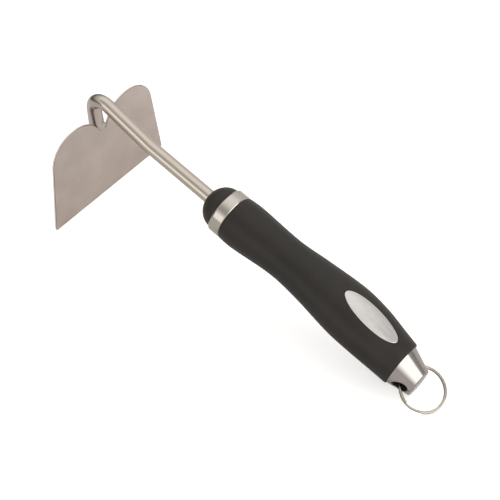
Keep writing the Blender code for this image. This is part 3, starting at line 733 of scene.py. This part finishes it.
def window_cutter(sizes):
    """A block with the window's shape, flared at the rubber's surface to round its edge."""
    levels = [(0.0, -WINDOW_DEPTH)] + flare_levels(sizes.window_round, WINDOW_FLARE_REACH)
    rings = [oval_ring(sizes, -WINDOW_GAP - widen, depth, 0.0) for widen, depth in levels]
    rings.insert(0, [Vector((point.x, point.y, WINDOW_CUT_BOTTOM)) for point in rings[0]])
    rings.append([Vector((point.x, point.y, WINDOW_CUT_TOP)) for point in rings[-1]])
    return loft("window_cutter", rings)


def cap_section(place, inset):
    """A section of the end cap at a place from its base, drawn in by inset."""
    radius, rise = cap_form(place)
    return oval_section(CAP_START + place, rise, radius - inset, radius - inset)


def cap_mesh(sizes):
    """The hollow cone, closed at its flat end and open at its base."""
    rim = sizes.cap_rim_round
    bore = even_places(CAP_LENGTH - CAP_WALL, 0.0, CAP_BORE_STEPS)
    side = even_places(0.0, CAP_LENGTH - rim, CAP_STEPS)
    rings = [cap_section(place, CAP_WALL) for place in bore]
    rings += [cap_section(place, 0.0) for place in side[:-1]]
    rings += [cap_section(place, inset) for place, inset in cap_rim(sizes)]
    rings += [cap_section(CAP_LENGTH, rim * share) for share in CAP_END_RINGS]
    return loft("cap_cone", rings)


def depth_in_cap(point):
    """How far a point in the handle's own frame lies under the cap's outer surface."""
    radius, rise = cap_form(point.x - CAP_START)
    return min(radius - math.hypot(point.y, point.z - rise), CAP_START + CAP_LENGTH - point.x)


def hole_ring(widen, depth, hand):
    """The hole's outline widened, on one side of the cap, at a height over its surface."""
    ring = []
    for turn in full_turn(HOLE_SIDES):
        place = HOLE_PLACE + (HOLE_HALF_LENGTH + widen) * math.cos(turn)
        height = HOLE_RISE + (HOLE_HALF_HEIGHT + widen) * math.sin(turn)
        radius, rise = cap_form(place - CAP_START)
        reach = math.sqrt(radius ** 2 - (height - rise) ** 2)
        ring.append(Vector((place, hand * (reach + depth), height)))
    return ring


def hole_cutter(sizes):
    """A bar through both sides of the cap, flared where it leaves the metal."""
    levels = flare_levels(sizes.hole_round, HOLE_FLARE_REACH)
    rings = []
    for hand in (-1.0, 1.0):
        half = [hole_ring(widen, depth, hand) for widen, depth in levels]
        half.append([Vector((point.x, hand * HOLE_CUT_REACH, point.z)) for point in half[-1]])
        rings = rings[::-1] + half
    return loft("hole_cutter", rings)


def wire_mesh(sizes):
    """The split ring: one flat wire wound twice, with the step between the coils and two cut ends."""
    climb = sizes.wire_height + sizes.coil_gap
    total = 4 * math.pi - RING_STEP_ANGLE
    power = 2.0 / WIRE_SQUARENESS
    last = len(WIRE_END_SHARES) - 1
    rings = []
    for index in range(WIRE_STEPS + 1):
        turn = total * index / WIRE_STEPS
        share = ease((turn - (2 * math.pi - RING_STEP_ANGLE)) / RING_STEP_ANGLE)
        angle = RING_STEP_PLACE + RING_STEP_ANGLE + turn
        shrink = WIRE_END_SHARES[min(index, WIRE_STEPS - index, last)]
        ring = []
        for around in full_turn(WIRE_SIDES):
            reach = sizes.ring_radius + squared(math.cos(around), power) * sizes.wire_width / 2 * shrink
            up = squared(math.sin(around), power) * sizes.wire_height / 2 * shrink
            ring.append(Vector((
                RING_REACH + reach * math.cos(angle),
                RING_SIDE_SHIFT + reach * math.sin(angle),
                climb * (share - 0.5) + up - RING_SAG,
            )))
        rings.append(ring)
    return loft("ring_wire", rings)


# --- finishes -----------------------------------------------------------------------------------


def add_node(tree, kind, settings=None):
    """Add a node with its settings.

    Another node's output is linked to the input of that name. Any other value is set on the node
    itself where it has an attribute of that name, and otherwise on the input.
    """
    node = tree.nodes.new(kind)
    for name, value in (settings or {}).items():
        if isinstance(value, bpy.types.NodeSocket):
            tree.links.new(value, node.inputs[name])
        elif isinstance(name, str) and hasattr(node, name):
            setattr(node, name, value)
        else:
            node.inputs[name].default_value = value
    return node


def empty_tree(owner):
    """The node tree of a new material or world, emptied."""
    owner.use_nodes = True
    owner.node_tree.nodes.clear()
    return owner.node_tree


def new_finish(name):
    """Start a material: its node tree and the piece's own coordinates."""
    material = bpy.data.materials.new(name)
    tree = empty_tree(material)
    return material, tree, add_node(tree, "ShaderNodeTexCoord").outputs["Object"]


def end_finish(material, looks):
    """Add the shader with its looks, and return the material."""
    shader = add_node(material.node_tree, "ShaderNodeBsdfPrincipled", looks)
    add_node(material.node_tree, "ShaderNodeOutputMaterial", {"Surface": shader.outputs[0]})
    return material


def shade(value, share):
    """A colour made darker or lighter by a share, as four numbers."""
    return (*[min(channel * share, 1.0) for channel in value], 1.0)


def noise(tree, place, scale, detail, rough=0.5):
    """A cloudy pattern over coordinates."""
    settings = {"Vector": place, "Scale": scale, "Detail": detail, "Roughness": rough}
    return add_node(tree, "ShaderNodeTexNoise", settings).outputs[0]


def stretched(tree, place, scale):
    """Coordinates with a scale of their own in each direction."""
    return add_node(tree, "ShaderNodeMapping", {"Vector": place, "Scale": scale}).outputs[0]


def calc(tree, operation, *values):
    """A sum of the named kind over numbers and other nodes' outputs."""
    settings = {"operation": operation, **dict(enumerate(values))}
    return add_node(tree, "ShaderNodeMath", settings).outputs[0]


def blend(tree, share, low, high, kind="MIX"):
    """A colour between two, each four numbers or another node's output."""
    settings = {"data_type": "RGBA", "blend_type": kind, 0: share, 6: low, 7: high}
    return add_node(tree, "ShaderNodeMix", settings).outputs[2]


def two_shades(tree, share, value, low, high):
    """A colour between a darker and a lighter shade of itself."""
    return blend(tree, share, shade(value, low), shade(value, high))


def two_patterns(tree, share, first, second):
    """A pattern mixed from two."""
    settings = {"data_type": "FLOAT", 0: share, 2: first, 3: second}
    return add_node(tree, "ShaderNodeMix", settings).outputs[0]


def ramp(tree, share, stops):
    """A colour read from stops, each a place and a colour."""
    node = add_node(tree, "ShaderNodeValToRGB", {"Fac": share})
    marks = node.color_ramp.elements
    marks[0].position = stops[0][0]
    marks[1].position = stops[-1][0]
    for place, _ in stops[1:-1]:
        marks.new(place)
    for mark, (_, value) in zip(marks, stops):
        mark.color = value
    return node.outputs[0]


def spread(tree, value, low, high, start=0.0, end=1.0):
    """A value read between start and end, spread from low to high."""
    settings = {"Value": value, "From Min": start, "From Max": end, "To Min": low, "To Max": high}
    return add_node(tree, "ShaderNodeMapRange", settings).outputs[0]


def relief(tree, height, strength, distance):
    """Fine relief: how strongly it shows, and how deep it is in metres."""
    settings = {"Height": height, "Strength": strength, "Distance": distance}
    return add_node(tree, "ShaderNodeBump", settings).outputs[0]


def along(tree, axis, direction):
    """How far a place lies, or how much a surface faces, along an axis."""
    settings = {"operation": "DOT_PRODUCT", 0: direction, 1: axis}
    return add_node(tree, "ShaderNodeVectorMath", settings).outputs["Value"]


def facing(tree, axis):
    """How much the surface faces along an axis, from -1 to 1."""
    return along(tree, axis, add_node(tree, "ShaderNodeTexCoord").outputs["Normal"])


def rim_painted_light(tree, place, sizes):
    """Painted highlight and shade over the sheet: a bright strip along the middle of its rim and darker
    bands towards both faces.
    """
    form = blade_matrix(sizes)
    axis = form.col[2].to_3d()
    middle = axis.dot(form.translation)
    reach = RIM_HIGHLIGHT_SHARE * sizes.blade_thickness
    in_middle = calc(tree, "COMPARE", along(tree, axis, place), middle, reach)
    beside = calc(tree, "MULTIPLY_ADD", in_middle, -0.5, 0.5)
    on_rim = calc(tree, "MAXIMUM", calc(tree, "ABSOLUTE", facing(tree, axis)), beside)
    return ramp(tree, on_rim, [(position, (grey, grey, grey, 1.0)) for position, grey in RIM_SHADES])


def satin_stainless_sheet(colours, sizes):
    """Stainless sheet, rolled and then tumbled: an even, soft grey-beige with a faint cloudy grain, and
    painted highlight and shade on its rim.
    """
    material, tree, place = new_finish("satin stainless sheet")
    cloud = noise(tree, place, 45.0, 3.0, 0.6)
    # Tumbling grit of 0.1 mm, drawn at 0.5 mm so that it shows
    grit = noise(tree, place, 2000.0, 2.0)
    stops = ((0.36, shade(colours.blade, 0.90)), (0.64, shade(colours.blade, 1.08)))
    tone = ramp(tree, two_patterns(tree, 0.3, cloud, grit), stops)
    # Whiter first, because the rim's painted highlight and shade greys then darken the sheet's flat
    # faces back to their tone
    scaling = {"operation": "SCALE", 0: tone, "Scale": 1 / FLAT_SHADE}
    whiter = add_node(tree, "ShaderNodeVectorMath", scaling).outputs[0]
    return end_finish(material, {
        "Metallic": 1.0,
        # The rim's bright strip and dark bands are painted highlight and painted shade
        "Base Color": blend(tree, 1.0, whiter, rim_painted_light(tree, place, sizes), "MULTIPLY"),
        "Roughness": spread(tree, cloud, 0.40, 0.54), "Normal": relief(tree, grit, 0.12, 0.00002),
    })


def drawn_stainless_bar(colours):
    """Stainless bar, cold drawn and bent: warm and bright, with fine lines along its length."""
    material, tree, place = new_finish("drawn stainless bar")
    # Die lines of 0.05 mm, drawn at 0.5 mm across and 40 mm along so that they show
    line = noise(tree, stretched(tree, place, (25.0, 2000.0, 300.0)), 1.0, 2.0)
    drawn = two_shades(tree, line, colours.bar, 0.94, 1.04)
    # The pressed foot is tumbled like the sheet, with a painted dark reflection where its front rounds
    # off
    foot = spread(tree, along(tree, FOOT_LINE, place), 0.0, 1.0, *FOOT_LINE_REACH)
    # Painted dark reflection along the foot's front edge, where its surface faces this way
    edge = spread(tree, facing(tree, FOOT_PAINTED_SHADE_FACING), 0.0, 0.85, 0.90, 0.99)
    tumbled_with_painted_band = two_shades(tree, edge, colours.blade, 1.0, 0.2)
    cloud = noise(tree, place, 90.0, 2.0)
    return end_finish(material, {
        "Metallic": 1.0, "Base Color": blend(tree, foot, drawn, tumbled_with_painted_band),
        "Roughness": spread(tree, cloud, 0.17, 0.28), "Normal": relief(tree, line, 0.06, 0.000005),
    })


def ground_stainless_weld(colours):
    """Stainless weld metal, ground flush: the sheet's colour, with short grinding lines."""
    material, tree, place = new_finish("ground stainless weld")
    # Grinding lines of 0.1 mm, drawn at 0.4 mm so that they show
    line = noise(tree, stretched(tree, place, (900.0, 160.0, 2500.0)), 1.0, 3.0)
    return end_finish(material, {
        "Metallic": 1.0, "Base Color": two_shades(tree, line, colours.weld, 0.92, 1.06),
        "Roughness": 0.46, "Normal": relief(tree, line, 0.12, 0.00002),
    })


def laid_stainless_weld(colours):
    """Stainless weld metal as laid: duller than the sheet, with straw heat tint in patches."""
    material, tree, place = new_finish("laid stainless weld")
    # Heat tint in patches of 3 mm
    patch = noise(tree, place, 330.0, 3.0)
    stops = ((0.42, shade(colours.weld, 1.0)), (0.66, shade(colours.heat_tint, 1.0)))
    return end_finish(material, {
        "Metallic": 1.0, "Base Color": ramp(tree, patch, stops),
        "Roughness": spread(tree, patch, 0.32, 0.55),
    })


def moulded_soft_rubber(colours):
    """Thermoplastic rubber, moulded in a spark-eroded tool: near black and dull, finely stippled."""
    material, tree, place = new_finish("moulded soft rubber")
    # Stipple of 0.2 mm, drawn at 0.6 mm so that it shows
    stipple = noise(tree, place, 1600.0, 2.0)
    handling = noise(tree, place, 60.0, 3.0)
    return end_finish(material, {
        "Specular IOR Level": 0.28, "Base Color": two_shades(tree, handling, colours.rubber, 0.65, 1.4),
        "Roughness": spread(tree, handling, 0.40, 0.52), "Normal": relief(tree, stipple, 0.25, 0.00004),
    })


def moulded_polypropylene(colours):
    """Polypropylene, injection moulded: plain black with a slight sheen, seen only in the gaps."""
    material, tree, place = new_finish("moulded polypropylene")
    flow = noise(tree, place, 250.0, 2.0)
    return end_finish(material, {
        "Base Color": two_shades(tree, flow, colours.core, 0.7, 1.3), "Roughness": 0.5,
    })


def turned_aluminium_band(colours):
    """Aluminium, turned and polished: bright, with fine turning lines round the band."""
    material, tree, place = new_finish("turned aluminium band")
    settings = {"Vector": place, "Rotation": (0.0, -HANDLE_SLOPE, 0.0)}
    level = add_node(tree, "ShaderNodeMapping", settings).outputs[0]
    # Turning lines of 0.08 mm, drawn at 0.3 mm so that they show
    line = noise(tree, stretched(tree, level, (3300.0, 60.0, 60.0)), 1.0, 2.0)
    return end_finish(material, {
        "Metallic": 1.0, "Base Color": two_shades(tree, line, colours.band, 0.95, 1.03),
        "Roughness": 0.17, "Normal": relief(tree, line, 0.05, 0.000004),
    })


def blasted_aluminium_oval(colours):
    """Aluminium, pressed and bead blasted: pale and soft, with a fine sparkle and faint clouds."""
    material, tree, place = new_finish("blasted aluminium oval")
    # Blasting grain of 0.1 mm, drawn at 0.35 mm so that it shows
    grain = noise(tree, place, 2800.0, 2.0)
    cloud = noise(tree, place, 260.0, 3.0)
    mottle = two_patterns(tree, 0.4, cloud, grain)
    return end_finish(material, {
        "Metallic": 1.0, "Base Color": two_shades(tree, mottle, colours.oval, 0.88, 1.08),
        "Roughness": 0.27, "Normal": relief(tree, grain, 0.2, 0.00002),
    })


def plated_zinc_cap(colours):
    """Zinc, die cast, polished and plated: a near mirror with slight waves left by polishing."""
    material, tree, place = new_finish("plated zinc cap")
    wave = noise(tree, place, 140.0, 1.0)
    return end_finish(material, {
        "Metallic": 1.0, "Base Color": two_shades(tree, wave, colours.cap, 0.96, 1.03),
        "Roughness": spread(tree, wave, 0.10, 0.18), "Normal": relief(tree, wave, 0.1, 0.0001),
    })


def cast_zinc_and_painted_shade(colours):
    """Zinc as it left the mould, inside the cap: dull and slightly mottled, and darkened as painted
    shade in the hollow.
    """
    material, tree, place = new_finish("as-cast zinc")
    mottle = noise(tree, place, 500.0, 3.0)
    return end_finish(material, {
        "Metallic": 0.6, "Base Color": two_shades(tree, mottle, colours.cast, 0.8, 1.3),
        "Roughness": 0.7,
    })


def plated_spring_wire(colours):
    """Flat spring wire, nickel plated and rubbed in places: bright on its flats, with painted shade on
    its rolled sides.
    """
    material, tree, place = new_finish("plated spring wire")
    rub = noise(tree, place, 420.0, 3.0)
    plate = two_shades(tree, rub, colours.wire, 0.95, 1.35)
    # Painted shade: the wire's rolled sides are darkened towards a quarter of its colour
    flat = calc(tree, "ABSOLUTE", facing(tree, ring_matrix().col[2].to_3d()))
    fade_from_painted_shade = spread(tree, flat, 0.0, 1.0, 0.45, 0.9)
    tone = blend(tree, fade_from_painted_shade, shade(colours.wire, 0.25), plate)
    return end_finish(material, {
        "Metallic": 1.0, "Base Color": tone, "Roughness": spread(tree, rub, 0.10, 0.20),
    })


def seen_directly(tree):
    """1 for rays from the camera and for rays that metal or glass sends on, otherwise 0."""
    path = add_node(tree, "ShaderNodeLightPath").outputs
    sent_on = calc(tree, "MAXIMUM", path["Is Glossy Ray"], path["Is Transmission Ray"])
    return calc(tree, "MAXIMUM", path["Is Camera Ray"], sent_on)


def painted_board(colours):
    """Painted board, rolled: the pale floor, lifted to white to the eye while it keeps a soft shadow."""
    material, tree, place = new_finish("painted board")
    nap = noise(tree, place, 900.0, 1.0)
    eye = add_node(tree, "ShaderNodeLightPath").outputs["Is Camera Ray"]
    glow = calc(tree, "MULTIPLY", seen_directly(tree), FLOOR_GLOW)
    return end_finish(material, {
        "Base Color": two_shades(tree, nap, colours.floor, 0.99, 1.0), "Roughness": 0.9,
        "Specular IOR Level": 0.0, "Emission Color": WHITE,
        "Emission Strength": calc(tree, "MULTIPLY_ADD", eye, FLOOR_LIFT, glow),
    })


# --- pieces -------------------------------------------------------------------------------------


def add_piece(name, mesh, place, material, body, nodes):
    """Link a mesh as a smooth piece that rides on a body and stands for CAD nodes."""
    mesh.transform(place)
    mesh.shade_smooth()
    mesh.set_sharp_from_angle(angle=SMOOTH_ANGLE)
    mesh.materials.clear()
    mesh.materials.append(material)
    piece = bpy.data.objects.new(name, mesh)
    bpy.context.scene.collection.objects.link(piece)
    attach(piece, body)
    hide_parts(*nodes)
    return piece


def cut_mesh(mesh, cutter):
    """Cut one closed mesh out of another and return what is left."""
    pair = []
    for part in (mesh, cutter):
        item = bpy.data.objects.new(part.name, part)
        bpy.context.scene.collection.objects.link(item)
        pair.append(item)
    boolean = pair[0].modifiers.new("cut", "BOOLEAN")
    boolean.operation = "DIFFERENCE"
    boolean.solver = "EXACT"
    boolean.object = pair[1]
    bpy.context.view_layer.update()
    evaluated = pair[0].evaluated_get(bpy.context.evaluated_depsgraph_get())
    result = bpy.data.meshes.new_from_object(evaluated)
    for item in pair:
        bpy.data.objects.remove(item, do_unlink=True)
    if not result.polygons:
        raise RuntimeError(f"the cut left nothing of {mesh.name}")
    return result


class HoeOperator:
    """What the hoe's operators share: each builds its pieces from the scene's own settings"""

    def execute(self, context):
        scene = context.scene
        self.build(scene, scene.hoe_sizes, scene.hoe_colours)
        return {"FINISHED"}


class HOE_OT_blade(HoeOperator, bpy.types.Operator):
    """Build the stamped blade"""

    bl_idname = "weeding_hoe.blade"
    bl_label = "Blade"

    def build(self, scene, sizes, colours):
        place = blade_matrix(sizes)
        finish = satin_stainless_sheet(colours, sizes)
        add_piece("blade_sheet", blade_mesh(sizes), place, finish, "hoe", ["blade"])


class HOE_OT_neck(HoeOperator, bpy.types.Operator):
    """Build the bent bar with its pressed foot"""

    bl_idname = "weeding_hoe.neck"
    bl_label = "Neck"

    def build(self, scene, sizes, colours):
        finish = drawn_stainless_bar(colours)
        add_piece("neck_bar", neck_mesh(sizes), Matrix.Identity(4), finish, "hoe", ["neck"])


class HOE_OT_welds(HoeOperator, bpy.types.Operator):
    """Build the two weld beads and the ground weld in the notch"""

    bl_idname = "weeding_hoe.welds"
    bl_label = "Welds"

    def build(self, scene, sizes, colours):
        place = blade_matrix(sizes)
        laid = laid_stainless_weld(colours)
        ground = ground_stainless_weld(colours)
        add_piece("bead_left", bead_mesh(sizes, -1.0), place, laid, "hoe", ["weld_left"])
        add_piece("bead_right", bead_mesh(sizes, 1.0), place, laid, "hoe", ["weld_right"])
        add_piece("ground_weld", notch_weld_mesh(sizes), place, ground, "hoe", ["weld_notch"])


class HOE_OT_nose_and_band(HoeOperator, bpy.types.Operator):
    """Build the soft dome and the metal band"""

    bl_idname = "weeding_hoe.nose_and_band"
    bl_label = "Nose and band"

    def build(self, scene, sizes, colours):
        place = handle_matrix(sizes)
        rubber = moulded_soft_rubber(colours)
        add_piece("soft_dome", nose_mesh(sizes), place, rubber, "hoe", ["nose_dome"])
        band = turned_aluminium_band(colours)
        add_piece("collar_band", collar_mesh(sizes), place, band, "hoe", ["collar"])


class HOE_OT_grip(HoeOperator, bpy.types.Operator):
    """Build the soft sleeve with its window, and finish the core under it"""

    bl_idname = "weeding_hoe.grip"
    bl_label = "Grip"

    def build(self, scene, sizes, colours):
        place = handle_matrix(sizes)
        sleeve = cut_mesh(grip_mesh(sizes), window_cutter(sizes))
        rubber = moulded_soft_rubber(colours)
        add_piece("grip_sleeve", sleeve, place, rubber, "hoe", ["soft_grip"])
        core = frame["nodes"]["handle_core"]
        core.material_slots[0].material = moulded_polypropylene(colours)


class HOE_OT_oval(HoeOperator, bpy.types.Operator):
    """Build the oval inlay"""

    bl_idname = "weeding_hoe.oval"
    bl_label = "Oval inlay"

    def build(self, scene, sizes, colours):
        place = handle_matrix(sizes)
        finish = blasted_aluminium_oval(colours)
        add_piece("oval_plate", oval_mesh(sizes), place, finish, "hoe", ["oval_inlay"])


class HOE_OT_end_cap(HoeOperator, bpy.types.Operator):
    """Build the hollow end cap with its side holes"""

    bl_idname = "weeding_hoe.end_cap"
    bl_label = "End cap"

    def build(self, scene, sizes, colours):
        cone = cut_mesh(cap_mesh(sizes), hole_cutter(sizes))
        plated = CAP_WALL * CAP_PLATED_SHARE
        inside = [face.index for face in cone.polygons if depth_in_cap(face.center) > plated]
        finish = plated_zinc_cap(colours)
        cap = add_piece("cap_cone", cone, handle_matrix(sizes), finish, "hoe", ["end_cap"])
        # The faces inside the cap take the darker as-cast finish, which is partly painted shade
        cap.data.materials.append(cast_zinc_and_painted_shade(colours))
        for index in inside:
            cap.data.polygons[index].material_index = 1


class HOE_OT_split_ring(HoeOperator, bpy.types.Operator):
    """Build the split ring"""

    bl_idname = "weeding_hoe.split_ring"
    bl_label = "Split ring"

    def build(self, scene, sizes, colours):
        place = ring_matrix()
        finish = plated_spring_wire(colours)
        add_piece("ring_wire", wire_mesh(sizes), place, finish, "ring", ["split_ring"])


class HOE_OT_studio(HoeOperator, bpy.types.Operator):
    """Build the floor, the lights and the camera"""

    bl_idname = "weeding_hoe.studio"
    bl_label = "Studio"

    def build(self, scene, sizes, colours):
        add_floor(scene, colours)
        add_world(scene, scene.hoe_studio.world_light)
        add_lamp(scene, scene.hoe_studio.key_power)
        add_cards(scene, scene.hoe_studio.card_light, scene.hoe_studio.card_dark)
        add_camera(scene)
        scene.view_settings.view_transform = "Standard"


def add_floor(scene, colours):
    """A pale floor far larger than the view."""
    half = FLOOR_HALF_SIZE
    points = [(-half, -half, 0.0), (half, -half, 0.0), (half, half, 0.0), (-half, half, 0.0)]
    mesh = bpy.data.meshes.new("studio_floor")
    mesh.from_pydata(points, [], [(0, 1, 2, 3)])
    mesh.materials.append(painted_board(colours))
    floor = bpy.data.objects.new("studio_floor", mesh)
    scene.collection.objects.link(floor)


def add_world(scene, strength):
    """White to the eye and to metal, and a plain soft light to everything else."""
    world = bpy.data.worlds.new("studio_air")
    tree = empty_tree(world)
    light = add_node(tree, "ShaderNodeBackground", {"Color": WHITE, "Strength": strength})
    white = add_node(tree, "ShaderNodeBackground", {"Color": WHITE, "Strength": 1.0})
    both = {0: seen_directly(tree), 1: light.outputs[0], 2: white.outputs[0]}
    mix = add_node(tree, "ShaderNodeMixShader", both)
    add_node(tree, "ShaderNodeOutputWorld", {"Surface": mix.outputs[0]})
    scene.world = world


def add_lamp(scene, power):
    """A large square lamp that looks at the middle of the hoe."""
    light = bpy.data.lights.new("key_lamp", "AREA")
    light.size = KEY_SIZE
    light.energy = power
    lamp = bpy.data.objects.new("key_lamp", light)
    lamp.location = KEY_PLACE
    lamp.rotation_euler = (-Vector(KEY_PLACE)).to_track_quat("-Z", "Y").to_euler()
    lamp.visible_glossy = False
    scene.collection.objects.link(lamp)


def add_cards(scene, white, dark):
    """The white, grey and dark cards round the hoe that give its metal bright and dark bands.

    The lists hold the place of each of a card's rows, and how bright the card is there.
    """
    top = ((-1.46, white), (-1.31, 0.75 * white), (-1.0, dark), (-0.58, dark), (-0.3, 0.7 * white),
           (-0.06, 0.96 * white), (0.38, 1.08 * white), (0.71, 1.06 * white), (1.5, 0.8 * white))
    front = ((0.0, 0.2), (0.04, 0.6), (0.12, 1.2), (0.3, 1.35), (0.7, 1.3), (0.84, 1.15))
    back = ((0.0, 0.6), (0.12, 0.64), (0.27, 0.66), (0.68, 0.72), (1.0, 0.78))
    butt = ((-1.25, dark), (-1.0, 1.27 * dark), (-0.72, 1.2 * white), (-0.42, 2.1 * white),
            (0.78, 2.1 * white))
    strip = ((0.0, 0.8), (0.07, 1.0))
    corner = ((1.2, 0.82, 1.1), (1.0, 1.1, 0.8), (0.6, 1.5, 0.8))
    fall = ((0.48, 1.03), (0.6, 0.85), (0.78, 0.45), (1.0, 0.4))
    blade = ((0.0, 0.12 * dark), (0.1, 0.2 * dark), (0.2, 0.9 * dark), (0.5, 0.9 * white))
    cards = {
        "top_card": [((-1.2, y, TOP_CARD_Z), (1.0, y, TOP_CARD_Z), glow) for y, glow in top],
        "front_card": [((-1.5, FRONT_CARD_Y, z), (1.1, FRONT_CARD_Y, z), glow * white)
                       for z, glow in front],
        "back_card": [((-1.6, BACK_CARD_Y, z), (0.6, BACK_CARD_Y, z), glow * white)
                      for z, glow in back],
        "butt_card": [((BUTT_CARD_X, y, 0.06), (BUTT_CARD_X, y, 1.2), glow) for y, glow in butt],
        "butt_strip": [((BUTT_STRIP_X, -1.3, z), (BUTT_STRIP_X, 0.8, z), glow * dark)
                       for z, glow in strip],
        "corner_card": [((x, y, 0.0), (x, y, 0.7), glow * dark) for x, y, glow in corner],
        "top_corner_card": [((x, 0.22, TOP_CORNER_CARD_Z), (x, 1.2, TOP_CORNER_CARD_Z), glow * white)
                            for x, glow in fall],
        "blade_card": [((BLADE_CARD_X, -0.9, z), (BLADE_CARD_X, 0.6, z), glow) for z, glow in blade],
    }
    for name, rows in cards.items():
        add_card(scene, name, rows)


def add_card(scene, name, rows):
    """A card that only metal and gloss see: rows of two ends and a brightness."""
    points = [end for row in rows for end in row[:2]]
    faces = [(2 * row, 2 * row + 1, 2 * row + 3, 2 * row + 2) for row in range(len(rows) - 1)]
    mesh = bpy.data.meshes.new(name)
    mesh.from_pydata(points, [], faces)
    glow = mesh.attributes.new("glow", "FLOAT", "POINT")
    glow.data.foreach_set("value", [row[2] for row in rows for _ in range(2)])
    material = bpy.data.materials.new(name)
    tree = empty_tree(material)
    read = add_node(tree, "ShaderNodeAttribute", {"attribute_name": "glow"})
    light = add_node(tree, "ShaderNodeEmission", {"Color": WHITE, "Strength": read.outputs["Fac"]})
    add_node(tree, "ShaderNodeOutputMaterial", {"Surface": light.outputs[0]})
    mesh.materials.append(material)
    card = bpy.data.objects.new(name, mesh)
    card.visible_camera = False
    card.visible_diffuse = False
    card.visible_shadow = False
    card.visible_transmission = False
    scene.collection.objects.link(card)


def add_camera(scene):
    """The photograph's camera."""
    data = bpy.data.cameras.new("photo_camera")
    data.lens = CAMERA_LENS
    data.sensor_width = CAMERA_SENSOR
    data.shift_x, data.shift_y = CAMERA_SHIFT
    data.clip_start, data.clip_end = CAMERA_CLIP
    camera = bpy.data.objects.new("photo_camera", data)
    axes = (CAMERA_RIGHT, CAMERA_UP, CAMERA_BACK)
    turn = Matrix([[axis[row] for axis in axes] for row in range(3)]).to_4x4()
    camera.matrix_world = Matrix.Translation(CAMERA_PLACE) @ turn
    scene.collection.objects.link(camera)
    scene.camera = camera


class HOE_PT_panel(bpy.types.Panel):
    """The hoe's pieces, sizes and colours"""

    bl_idname = "HOE_PT_panel"
    bl_label = "Weeding Hoe"
    bl_space_type = "VIEW_3D"
    bl_region_type = "UI"
    bl_category = "Weeding Hoe"

    def draw(self, context):
        layout = self.layout
        for operator in OPERATORS:
            layout.operator(operator.bl_idname)
        for group in (context.scene.hoe_sizes, context.scene.hoe_colours, context.scene.hoe_studio):
            box = layout.box()
            for name in group.__annotations__:
                box.prop(group, name)


OPERATORS = (
    HOE_OT_blade, HOE_OT_neck, HOE_OT_welds, HOE_OT_nose_and_band, HOE_OT_grip, HOE_OT_oval,
    HOE_OT_end_cap, HOE_OT_split_ring, HOE_OT_studio,
)
CLASSES = (HoeSizes, HoeColours, HoeStudio) + OPERATORS + (HOE_PT_panel,)


def register():
    """Register the classes and hang the settings on the scene."""
    for item in CLASSES:
        bpy.utils.register_class(item)
    bpy.types.Scene.hoe_sizes = PointerProperty(type=HoeSizes)
    bpy.types.Scene.hoe_colours = PointerProperty(type=HoeColours)
    bpy.types.Scene.hoe_studio = PointerProperty(type=HoeStudio)


def unregister():
    """Take the settings and the classes away again."""
    del bpy.types.Scene.hoe_studio
    del bpy.types.Scene.hoe_colours
    del bpy.types.Scene.hoe_sizes
    for item in reversed(CLASSES):
        bpy.utils.unregister_class(item)


def main():
    """Build the hoe."""
    register()
    bpy.ops.weeding_hoe.blade()
    bpy.ops.weeding_hoe.neck()
    bpy.ops.weeding_hoe.welds()
    bpy.ops.weeding_hoe.nose_and_band()
    bpy.ops.weeding_hoe.grip()
    bpy.ops.weeding_hoe.oval()
    bpy.ops.weeding_hoe.end_cap()
    bpy.ops.weeding_hoe.split_ring()
    bpy.ops.weeding_hoe.studio()


if __name__ == "__main__":
    main()
